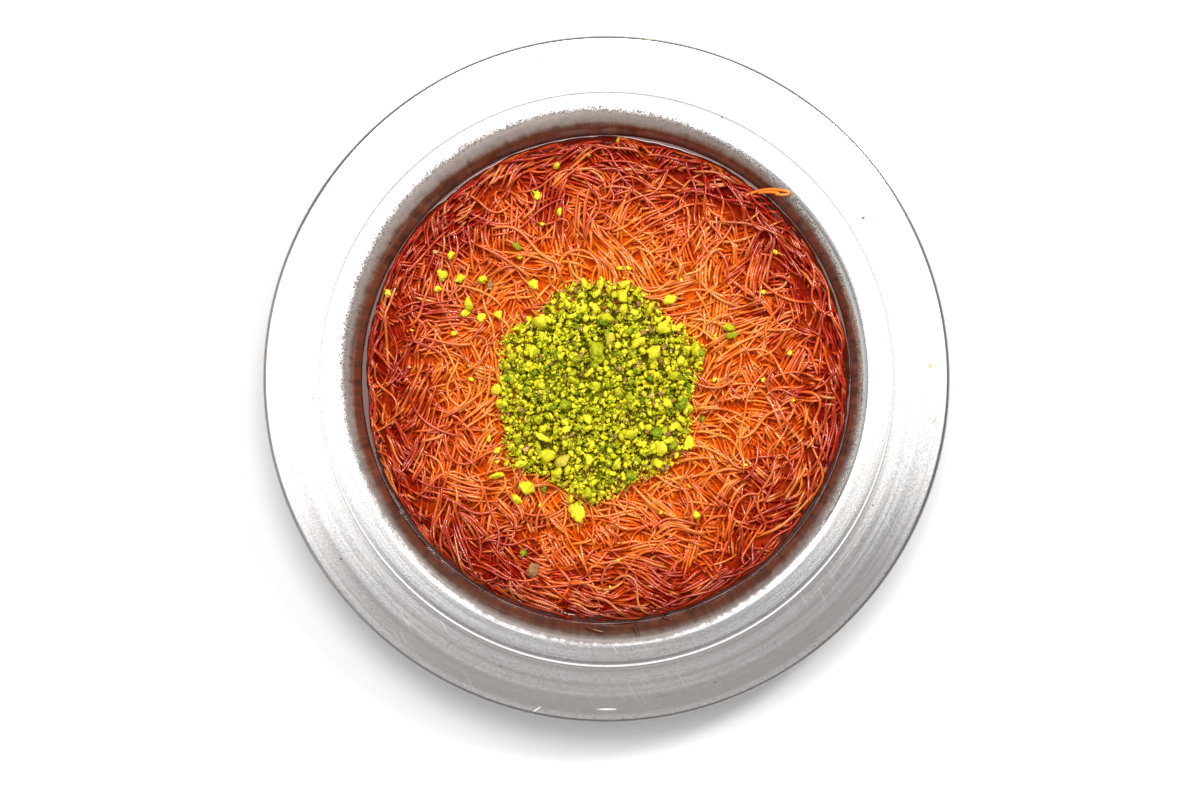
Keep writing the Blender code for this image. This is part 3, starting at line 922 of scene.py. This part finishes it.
# Strands that stray over the syrup and the wall: pixel in the photograph and height in mm at each bend
STRAY_STRANDS = (
    (
        (741, 197, 13.1),
        (749, 194, 13.3),
        (757, 191, 14.2),
        (765, 189, 16.2),
        (773, 189, 17.9),
        (781, 190, 18.8),
        (788, 191, 19.3),
        (791, 193, 19.3),
        (788, 195, 19.1),
        (782, 195, 18.8),
        (775, 194, 18.3),
    ),
    ((758, 193, 14.4), (765, 192, 16.0), (772, 192, 17.6), (779, 193, 18.6)),
    ((586, 626, 15.8), (592, 629, 17.0), (598, 631, 17.5), (604, 632, 17.6)),
    ((633, 626, 16.4), (636, 630, 17.4), (638, 636, 18.3)),
    ((661, 616, 13.2), (666, 618, 13.8), (672, 620, 14.6)),
    ((855, 336, 14.6), (860, 331, 17.4), (862, 326, 18.0)),
)


def stray_strands(finish):
    """Strands through given bends, with the places between read off a line from bend to bend and evened."""
    share = np.linspace(0, 1, 24)
    paths = []
    for bends in STRAY_STRANDS:
        column, row, height = np.array(bends, float).T
        x, y = at_pixel(column, row, height * MM)
        at = np.linspace(0, 1, len(x))
        path = np.stack([np.interp(share, at, values) for values in (x, y, height * MM)])
        for _ in range(4):
            path[:, 1:-1] = 0.25 * path[:, :-2] + 0.5 * path[:, 1:-1] + 0.25 * path[:, 2:]
        paths.append(path)
    x, y, z = np.array(paths).transpose(1, 0, 2)
    points, faces = tube_mesh(x, y, z, np.full((len(paths), 1), 0.48 * MM), 6)
    toast = (0.10, 0.10, 0.25, 1.0, 0.9, 0.9)
    burnt = (0.0, 0.0, 0.92, 0.95, 0.9, 0.8)
    attributes = {"toast": toast, "tone": 0.5, "painted_shade": 0.0, "burnt": burnt}
    mesh_piece("strands_stray", finish, points, faces, attributes)


def pastry_core(finish):
    """The pressed body of the pastry below its top strands: a turned solid with an uneven top and edge."""
    segments = 240
    floor = SHEET + 0.3 * MM
    rim = PASTRY_RADIUS - 0.6 * MM
    below = PASTRY_TOP - PASTRY_SHOULDER
    foot = rim - (below - floor) * math.tan(WALL_DRAFT)
    side_radii = (0.0, 40 * MM, foot - 2 * MM, foot, rim - 0.2 * MM, rim)
    side_heights = (floor, floor, floor, floor + 1.5 * MM, below - 0.5 * MM, below + 0.3 * MM)
    top_radii = np.concatenate((rim - np.linspace(0.2, 5, 10) * MM, np.linspace(rim - 5.6 * MM, 0, 90)))
    sides = np.stack((side_radii, side_heights), -1)
    profile = np.concatenate((sides, np.stack((top_radii, np.zeros(len(top_radii))), -1)))
    points, faces = turned(profile, segments)
    points[:, :2] *= swell(np.arctan2(points[:, 1], points[:, 0]))[:, None]
    on_top = (np.arange(len(points)) // segments) >= 5
    on_top[-2] = False
    x, y = points[:, 0], points[:, 1]
    crown = pastry_crown(x, y) - 2.5 * MM
    crown = crown + 0.22 * MM * ripple(x, y, 2.2 * MM, 31) + 0.15 * MM * ripple(x, y, 4 * MM, 32)
    points[on_top, 2] = crown[on_top]
    toast = toasting(x, y)
    return mesh_piece("pastry_core", finish, points, faces, {"toast": toast})


# The syrup


def syrup_pool(finish):
    """The ring of syrup: a hollow between two rising edges, level + rise * exp(-distance / reach) at each.

    Under the pastry's outermost strands it rises further, evenly with the distance.
    """
    angles = np.arange(SYRUP_SEGMENTS) * 2 * math.pi / SYRUP_SEGMENTS
    inner = (PASTRY_RADIUS - 0.9 * MM) * swell(angles)
    outer = wall_radius(SYRUP_LEVEL) + 0.35 * MM
    line_x, line_y = np.cos(angles) * PASTRY_RADIUS, np.sin(angles) * PASTRY_RADIUS
    wall_rise = (0.50 + 0.15 * ripple(line_x, line_y, 9 * MM, 41)) * MM
    pastry_rise = (0.25 + 0.07 * ripple(line_x, line_y, 6 * MM, 42)) * MM
    wander = 0.20 * ripple(line_x, line_y, 14 * MM, 45) + 0.12 * ripple(line_x, line_y, 5 * MM, 43)
    wander = wander + 0.15 * np.cos(angles + 0.4)
    pastry_line = pastry_edge(angles) + (0.30 + wander) * MM
    radius = inner[None] + (outer - inner)[None] * np.linspace(0, 1, 55)[:, None]
    gap = radius - pastry_line
    climb = np.exp(-np.maximum(gap, 0) / (0.23 * MM)) + np.clip(-gap, 0, 2.0 * MM) / (0.50 * MM)
    from_wall = np.maximum(wall_radius(SYRUP_LEVEL) - radius, 0)
    height = SYRUP_LEVEL - SYRUP_HOLLOW + 0.10 * MM * ripple(line_x, line_y, 20 * MM, 44)
    height = height + wall_rise * np.exp(-from_wall / (0.09 * MM)) + pastry_rise * climb
    foot = SHEET + BASE_CORNER + 0.3 * MM
    low = np.ones((1, SYRUP_SEGMENTS))
    low_inner = BASE_FLAT_RADIUS - 0.5 * MM
    low_outer = wall_radius(foot) + 0.1 * MM
    radius = np.concatenate((low * low_inner, radius, low * low_outer))
    height = np.concatenate((low * foot, height, low * foot))
    points = np.stack((radius * np.cos(angles), radius * np.sin(angles), height), -1).reshape(-1, 3)
    rows = len(radius)
    quads = turned_faces(rows + 1, SYRUP_SEGMENTS) % (rows * SYRUP_SEGMENTS)
    thin = np.zeros((rows, SYRUP_SEGMENTS))
    thin[1:-1] = np.maximum(np.exp(-from_wall / (0.35 * MM)), np.clip(1 - gap / (0.4 * MM), 0, 2))
    piece = mesh_piece("syrup_pool", finish, points, [quads[:, ::-1]], {"thin": thin})
    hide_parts("syrup")


# The pistachio


def ball(subdivisions):
    """Points and triangles of a unit ball made from an icosahedron whose faces are split in four."""
    golden = (1 + math.sqrt(5)) / 2
    points = [(-1, golden, 0), (1, golden, 0), (-1, -golden, 0), (1, -golden, 0)]
    points += [(0, -1, golden), (0, 1, golden), (0, -1, -golden), (0, 1, -golden)]
    points += [(golden, 0, -1), (golden, 0, 1), (-golden, 0, -1), (-golden, 0, 1)]
    faces = [(0, 11, 5), (0, 5, 1), (0, 1, 7), (0, 7, 10), (0, 10, 11)]
    faces += [(1, 5, 9), (5, 11, 4), (11, 10, 2), (10, 7, 6), (7, 1, 8)]
    faces += [(3, 9, 4), (3, 4, 2), (3, 2, 6), (3, 6, 8), (3, 8, 9)]
    faces += [(4, 9, 5), (2, 4, 11), (6, 2, 10), (8, 6, 7), (9, 8, 1)]
    points = np.array(points, float)
    faces = np.array(faces)
    for _ in range(subdivisions):
        edges = np.sort(np.concatenate((faces[:, :2], faces[:, 1:], faces[:, ::2])), 1)
        unique, which = np.unique(edges, axis=0, return_inverse=True)
        middles = points[unique].mean(1)
        count = len(faces)
        ab, bc, ac = (which.ravel()[i * count : (i + 1) * count] + len(points) for i in range(3))
        a, b, c = faces.T
        faces = np.concatenate(
            [np.stack(corner, -1) for corner in ((a, ab, ac), (b, bc, ab), (c, ac, bc), (ab, bc, ac))]
        )
        points = np.concatenate((points, middles))
    return points / np.linalg.norm(points, axis=1)[:, None], faces


def turns(draw, count):
    """Random turns, as matrices from random unit quaternions."""
    q = draw.normal(0, 1, (count, 4))
    w, x, y, z = (q / np.linalg.norm(q, axis=1)[:, None]).T
    rows = (
        (1 - 2 * (y * y + z * z), 2 * (x * y - z * w), 2 * (x * z + y * w)),
        (2 * (x * y + z * w), 1 - 2 * (x * x + z * z), 2 * (y * z - x * w)),
        (2 * (x * z - y * w), 2 * (y * z + x * w), 1 - 2 * (x * x + y * y)),
    )
    return np.array(rows).transpose(2, 0, 1)


def crumbs(draw, places, sizes, subdivisions, lumps):
    """Broken bits of nut at places: balls cut by random flats, roughened, squashed and turned.

    A point of the unit ball stays within each of several planes: it is pulled in to
    offset / (point . normal) where that is nearer. It then moves along itself by a random share, and by
    nine bumps, each a bell curve of the direction.
    """
    ball_points, ball_faces = ball(subdivisions)
    count = len(places)
    normals = draw.normal(0, 1, (count, lumps, 3))
    normals /= np.linalg.norm(normals, axis=2)[:, :, None]
    offsets = draw.uniform(0.38, 0.88, (count, lumps))
    facing = np.einsum("pk,clk->cpl", ball_points, normals)
    reach = np.where(facing > 0.05, offsets[:, None, :] / np.maximum(facing, 0.05), 9.0).min(2)
    reach = np.minimum(reach, 1.0) * (1 + draw.normal(0, 0.13, (count, len(ball_points))))
    bumps = draw.normal(0, 1, (count, 9, 3))
    bumps /= np.linalg.norm(bumps, axis=2)[:, :, None]
    nearness = np.einsum("pk,clk->cpl", ball_points, bumps) - 1
    reach += (0.28 * np.exp(14 * nearness) * draw.uniform(-1, 1, (count, 1, 9))).sum(2)
    squash = np.stack((np.ones(count), draw.uniform(0.55, 1.0, count), draw.uniform(0.4, 0.9, count)), -1)
    shaped = ball_points[None] * reach[:, :, None] * squash[:, None, :] * sizes[:, None, None] * 0.6
    shaped = np.einsum("cij,cpj->cpi", turns(draw, count), shaped)
    points = shaped + places[:, None, :]
    faces = ball_faces[None] + (np.arange(count) * len(ball_points))[:, None, None]
    return points.reshape(-1, 3), faces.reshape(-1, 3)


def mound_height(share):
    """The bare mound under the crumbs: highest in the middle, falling to nothing at the outline."""
    return MOUND_HEIGHT * np.clip(1 - share**2.2, 0, 1) ** 0.8


# Lone crumbs: pixel in the photograph, size in mm, tone, and 1 for a bit of dark skin or 2 for pale skin
LONE_CRUMBS = (
    (556, 166, 2.2, 0.6, 0),
    (537, 196, 2.8, 0.7, 0),
    (559, 212, 2.6, 0.8, 0),
    (542, 224, 1.8, 0.7, 0),
    (534, 192, 1.8, 0.5, 0),
    (518, 247, 2.8, 0.1, 0),
    (519, 256, 2.3, 0.7, 0),
    (451, 255, 2.6, 0.8, 0),
    (442, 274, 3.4, 0.7, 0),
    (460, 278, 2.8, 0.5, 0),
    (483, 280, 3.8, 0.6, 0),
    (489, 284, 2.2, 0.2, 1),
    (437, 289, 2.6, 0.9, 0),
    (388, 294, 2.4, 0.8, 0),
    (469, 304, 4.4, 0.6, 0),
    (465, 313, 3.2, 0.8, 0),
    (481, 317, 2.6, 0.8, 0),
    (498, 313, 2.4, 0.9, 0),
    (454, 333, 2.2, 0.8, 0),
    (535, 285, 3.2, 0.8, 0),
    (620, 268, 2.0, 0.7, 0),
    (628, 268, 2.0, 0.8, 0),
    (671, 299, 4.2, 0.9, 0),
    (681, 280, 1.2, 0.8, 0),
    (729, 327, 4.2, 0.3, 0),
    (732, 335, 3.4, 0.2, 0),
    (715, 337, 2.2, 0.7, 0),
    (776, 252, 1.6, 1.0, 0),
    (702, 419, 2.8, 0.1, 0),
    (715, 380, 1.6, 0.8, 0),
    (497, 475, 5.0, 0.7, 0),
    (507, 463, 2.0, 0.4, 0),
    (497, 462, 2.2, 0.8, 0),
    (489, 438, 2.0, 1.0, 0),
    (528, 487, 4.6, 0.6, 0),
    (517, 499, 4.4, 0.8, 0),
    (544, 489, 2.2, 0.1, 0),
    (540, 505, 1.4, 0.5, 0),
    (524, 553, 2.4, 0.1, 0),
    (532, 570, 4.0, 0.4, 1),
    (696, 515, 2.4, 0.9, 0),
    (689, 486, 1.8, 0.7, 0),
    (661, 513, 1.4, 0.9, 0),
    (746, 465, 1.4, 0.6, 0),
    (790, 353, 1.5, 0.7, 0),
    (763, 292, 1.4, 0.8, 0),
    (763, 380, 1.3, 0.7, 0),
    (793, 401, 1.6, 0.8, 0),
    (618, 561, 1.3, 0.6, 0),
    (610, 587, 1.4, 0.5, 0),
    (471, 379, 1.8, 0.8, 0),
    (412, 330, 1.2, 0.8, 0),
    (498, 389, 3.8, 0.9, 0),
    (500, 404, 3.6, 0.7, 0),
    (497, 450, 2.4, 0.8, 0),
    (506, 441, 1.8, 0.1, 0),
    (576, 513, 6.2, 1.0, 0),
    (688, 443, 5.6, 0.8, 0),
    (435, 252, 1.8, 1.0, 2),
    (490, 287, 1.8, 1.0, 2),
    (469, 366, 1.3, 1.0, 2),
    (409, 367, 1.0, 1.0, 2),
    (590, 154, 1.8, 0.9, 0.5),
    (618, 139, 2.2, 0.8, 0.5),
)

# The larger lumps of the heap, in the same terms
HEAP_LUMPS = (
    (600, 286, 4.2, 0.95, 0),
    (597, 294, 3.0, 0.8, 0),
    (584, 283, 3.0, 0.8, 0),
    (625, 285, 3.2, 0.85, 0),
    (637, 292, 4.0, 0.55, 0),
    (621, 298, 4.2, 0.55, 0),
    (649, 310, 4.4, 0.6, 0),
    (623, 309, 3.8, 0.7, 0),
    (596, 308, 3.2, 0.75, 0),
    (608, 318, 4.4, 0.35, 0),
    (540, 320, 4.2, 0.7, 0),
    (552, 309, 3.8, 0.45, 0),
    (563, 296, 2.6, 0.7, 0),
    (662, 328, 4.0, 1.0, 0),
    (668, 319, 2.4, 0.9, 0),
    (653, 351, 4.6, 0.95, 0),
    (640, 343, 4.4, 0.75, 0),
    (610, 339, 3.8, 0.8, 0.3),
    (595, 348, 5.2, 0.25, 0),
    (598, 358, 4.4, 0.3, 0),
    (577, 359, 4.0, 0.2, 0),
    (588, 373, 4.6, 1.0, 0),
    (695, 349, 4.6, 0.45, 0),
    (680, 360, 3.6, 0.8, 0),
    (673, 375, 4.0, 0.35, 0),
    (679, 405, 3.8, 0.1, 0),
    (667, 403, 4.0, 0.5, 0),
    (630, 399, 3.8, 0.3, 0),
    (588, 420, 3.2, 1.0, 0),
    (660, 422, 3.0, 1.0, 0),
    (673, 427, 3.0, 0.9, 0),
    (660, 449, 4.4, 1.0, 0),
    (657, 462, 4.6, 0.55, 0),
    (673, 445, 2.8, 0.15, 0),
    (543, 438, 4.8, 1.0, 0),
    (548, 454, 4.4, 0.5, 0),
    (562, 461, 4.4, 0.9, 0.45),
    (558, 472, 4.2, 0.55, 0),
    (588, 492, 4.0, 0.35, 0),
    (570, 500, 3.2, 0.6, 0),
    (630, 435, 4.0, 0.6, 0),
    (588, 428, 3.0, 0.7, 0),
    (618, 462, 3.4, 0.9, 0),
    (511, 357, 3.4, 0.3, 0),
    (507, 365, 2.8, 0.4, 0),
    (520, 387, 2.6, 1.0, 0),
)


# Crumbs of the heap: name, count, sizes from and to in mm, skew to the small, spread, subdivisions, flats
CRUMB_KINDS = (
    ("pistachio_chunks", 100, 2.2, 3.6, 1.4, 1.0, 2, 6),
    ("pistachio_grains", 2440, 1.0, 2.3, 1.3, 1.0, 1, 5),
    ("pistachio_fine", 6600, 0.5, 1.1, 1.0, 1.03, 0, 3),
)


def settle(ground, x, y, sizes, order):
    """Heights of the crumbs' middles, laid down one after another on a map of what is already there.

    Each rests between the mean and the highest of the ground under it, and raises the ground to its dome.
    """
    settled = np.zeros(len(x))
    for i in order:
        radius = sizes[i] / 2
        cells = max(1, int(radius / ground.cell))
        column = int((x[i] + ground.half) / ground.cell)
        row = int((y[i] + ground.half) / ground.cell)
        window = ground.level[row - cells : row + cells + 1, column - cells : column + cells + 1]
        middle = 0.7 * window.mean() + 0.3 * window.max() + 0.45 * radius
        settled[i] = middle
        offsets = np.arange(-cells, cells + 1) * ground.cell
        away = np.hypot(*np.meshgrid(offsets, offsets))
        dome = middle + 0.75 * np.sqrt(np.clip(radius**2 - away**2, 0, None))
        np.maximum(window, np.where(away < radius, dome, 0), out=window)
    return settled


def lone_crumbs():
    """Places, sizes, tones, skins and painted shade (none) of the crumbs that lie apart from the heap."""
    column, row, size, tone, skin = np.array(LONE_CRUMBS).T
    size = size * MM
    x, y = at_pixel(column, row, PASTRY_TOP + 1.5 * MM)
    return np.stack((x, y, pastry_crown(x, y) + 0.25 * size), -1), size, tone, skin, np.zeros(len(size))


def pistachio(finish):
    """The heap and the lone crumbs: a core, with three sizes of crumb and the lumps settled on it."""
    pieces = [heap_core(finish)]
    draw = np.random.default_rng(17)
    batches = []
    for name, count, small, large, skew, spread, subdivisions, flats in CRUMB_KINDS:
        sizes = (small + (large - small) * draw.random(count) ** skew) * MM
        share = np.sqrt(draw.random(count)) * spread + np.abs(draw.normal(0, 0.03, count))
        x, y = heap_place(draw.uniform(0, 2 * math.pi, count), share)
        batches.append((name, x, y, sizes, subdivisions, flats))
    lump_column, lump_row, lump_size, lump_tone, lump_skin = np.array(HEAP_LUMPS).T
    x, y = at_pixel(lump_column, lump_row, PASTRY_TOP + 3 * MM)
    batches.append(("pistachio_lumps", x, y, lump_size * MM, 2, 7))

    every_x, every_y, every_size = (np.concatenate([batch[i] for batch in batches]) for i in (1, 2, 3))
    total = len(every_size)
    lumps_last = 9 * MM * (np.arange(total) >= total - len(HEAP_LUMPS))
    order = np.argsort(lumps_last + 0.4 * every_size + draw.normal(0, 0.9, total) * MM)
    ground = Heights(0.25 * MM, 46 * MM)
    ground.level = mound_height(heap_share(*ground.places()))
    settled = settle(ground, every_x, every_y, every_size, order)
    evened = blurred(ground.level, 4)[ground.index(every_y), ground.index(every_x)]
    # Painted shade: more the further a crumb's top lies below the evened top of the heap.
    painted_shade = np.clip((evened - settled - 0.50 * every_size) / (1.8 * MM), 0, 1)
    settled += pastry_crown(every_x, every_y) + 0.2 * MM

    start = 0
    for name, x, y, sizes, subdivisions, flats in batches:
        count = len(x)
        own = slice(start, start + count)
        start += count
        tone = np.clip(draw.normal(0.585, 0.34, count) + 0.12 * (heap_share(x, y) - 0.5), 0, 1)
        lot = draw.random(count)
        skin = (lot < 0.055) * 1.0 + (lot < 0.018)
        tone = np.where(lot > 0.80, 0.5 * tone, tone)
        if name == "pistachio_lumps":
            tone, skin = lump_tone, lump_skin
        crumb = (np.stack((x, y, settled[own]), -1), sizes, tone, skin, painted_shade[own])
        if name == "pistachio_chunks":
            crumb = [np.concatenate(pair) for pair in zip(crumb, lone_crumbs())]
        places, sizes, tone, skin, own_painted_shade = crumb
        points, faces = crumbs(draw, places, sizes, subdivisions, flats)
        attributes = {"tone": tone, "skin": skin, "painted_shade": own_painted_shade}
        piece = mesh_piece(name, finish, points, [faces], attributes, smooth=False)
        pieces.append(piece)
    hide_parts("pistachio")


def heap_core(finish):
    """The mound under the crumbs: unit rings carried out to the heap's outline, roughened on top."""
    segments = 180
    share = np.concatenate(((0.0, 0.5, 0.93), np.linspace(0.97, 0, 60)))
    points, faces = turned(np.stack((share, np.zeros(len(share))), -1), segments)
    reach = np.hypot(points[:, 0], points[:, 1])
    x, y = heap_place(np.arctan2(points[:, 1], points[:, 0]), reach)
    under = np.arange(len(points)) // segments < 2
    under[-2] = True
    rough = 0.28 * MM * ripple(x, y, 1.5 * MM, 51) + 0.2 * MM * ripple(x, y, 3.1 * MM, 52)
    base = pastry_crown(x, y)
    z = np.where(under, base - 1.6 * MM, base - 1.0 * MM + mound_height(reach) + rough)
    points = np.stack((x, y, z), -1)
    # The mound gets half the full painted shade and a low tone, towards green.
    attributes = {"tone": 0.2, "skin": 0.0, "painted_shade": 0.5}
    return mesh_piece("pistachio_core", finish, points, faces, attributes)


# The stage


def pale_floor():
    """The white floor, a little uneven in its whiteness."""
    finish = Finish("pale_floor")
    soft = finish.noise(finish.place(), 3.0, 2.0)
    finish.shade(
        Base_Color=finish.mix(soft, (0.97, 0.97, 0.97), (0.985, 0.985, 0.985)),
        Roughness=0.75 + soft * 0.1,
        Specular_IOR_Level=0.2,
    )
    return finish


def stage():
    """A square floor at Z = 0."""
    half = 4.0
    corners = [(-half, -half, 0), (half, -half, 0), (half, half, 0), (-half, half, 0)]
    mesh = bpy.data.meshes.new("floor")
    mesh.from_pydata(corners, [], [(0, 1, 2, 3)])
    mesh.materials.append(pale_floor().material)
    floor = bpy.data.objects.new("floor", mesh)
    bpy.context.scene.collection.objects.link(floor)


# Lights: name, place, the point faced, width, depth, radiance, turn in degrees, colour
WHITE = (1.0, 1.0, 1.0)
CENTRE = (0.0, 0.0, 0.0)
LIGHTS = (
    ("overhead", (-0.01, 0.135, 1.25), (-0.01, 0.125, 0.0), 1.40, 0.45, 1.75, 5.0, WHITE),
    ("overhead_far", (-0.01, 0.73, 1.25), (-0.01, 0.72, 0.0), 0.95, 0.70, 7.6, 6.0, WHITE),
    ("near_card", (0.0, -0.50, 1.25), (0.0, -0.49, 0.0), 1.2, 0.70, 0.44, 0.0, (1.0, 0.965, 0.95)),
    ("left_card", (-1.05, -0.20, 0.82), CENTRE, 1.5, 0.85, 0.42, 0.0, (1.0, 0.965, 0.94)),
    ("key", (0.55, 0.50, 0.75), CENTRE, 0.16, 0.16, 47.0, 0.0, WHITE),
)

# The world: its colour, its strength by the walls and the ceiling, and the heights of the direction between
WORLD_COLOUR = (1.0, 0.985, 0.97, 1.0)
WALLS_STRENGTH = 0.48
CEILING_STRENGTH = 0.13
WALLS_END = 0.45
CEILING_START = 0.80


def area_light(name, place, aim, width, depth, radiance, turn, colour):
    """A soft rectangular light that faces a point. Its power follows from its radiance and its area."""
    data = bpy.data.lights.new(name, "AREA")
    data.shape = "RECTANGLE"
    data.size = width
    data.size_y = depth
    data.color = colour
    data.energy = radiance * width * depth * math.pi
    lamp = bpy.data.objects.new(name, data)
    away = np.array(place) - np.array(aim)
    lamp.location = place
    tilt = math.atan2(math.hypot(away[0], away[1]), away[2])
    lamp.rotation_euler = (tilt, 0, math.atan2(away[0], -away[1]) + math.radians(turn))
    bpy.context.scene.collection.objects.link(lamp)


def studio_walls():
    """The world: a dim ceiling over brighter walls, by the height of the direction looked in."""
    world = bpy.data.worlds.new("studio")
    world.use_nodes = True
    tree = world.node_tree
    background = tree.nodes["Background"]
    background.inputs["Color"].default_value = WORLD_COLOUR
    direction = tree.nodes.new("ShaderNodeTexCoord")
    split = tree.nodes.new("ShaderNodeSeparateXYZ")
    fade = tree.nodes.new("ShaderNodeMapRange")
    tree.links.new(direction.outputs["Generated"], split.inputs[0])
    tree.links.new(split.outputs["Z"], fade.inputs["Value"])
    tree.links.new(fade.outputs["Result"], background.inputs["Strength"])
    fade.inputs["From Min"].default_value = WALLS_END
    fade.inputs["From Max"].default_value = CEILING_START
    fade.inputs["To Min"].default_value = WALLS_STRENGTH
    fade.inputs["To Max"].default_value = CEILING_STRENGTH
    return world


def camera():
    """The camera that took the photograph: straight above, looking down."""
    data = bpy.data.cameras.new("camera")
    data.sensor_width = SENSOR_WIDTH
    data.lens = SENSOR_WIDTH * FOCAL_PIXELS / PHOTO_WIDTH
    data.clip_start = 0.01
    made = bpy.data.objects.new("camera", data)
    made.location = CAMERA_PLACE
    bpy.context.scene.collection.objects.link(made)
    bpy.context.scene.camera = made


def main():
    scene = bpy.context.scene
    scene.view_settings.view_transform = "Standard"
    scene.world = studio_walls()
    camera()
    for light in LIGHTS:
        area_light(*light)
    stage()
    dish_piece(spun_aluminium())
    core = pastry_core(soaked_shaded_core())
    toasted = toasted_strands()
    strands = pastry_threads(toasted)
    stray_strands(toasted)
    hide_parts("kunafa")
    for piece in strands:
        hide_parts("kunafa")
    syrup_pool(dark_syrup())
    pistachio(crushed_pistachio())


main()
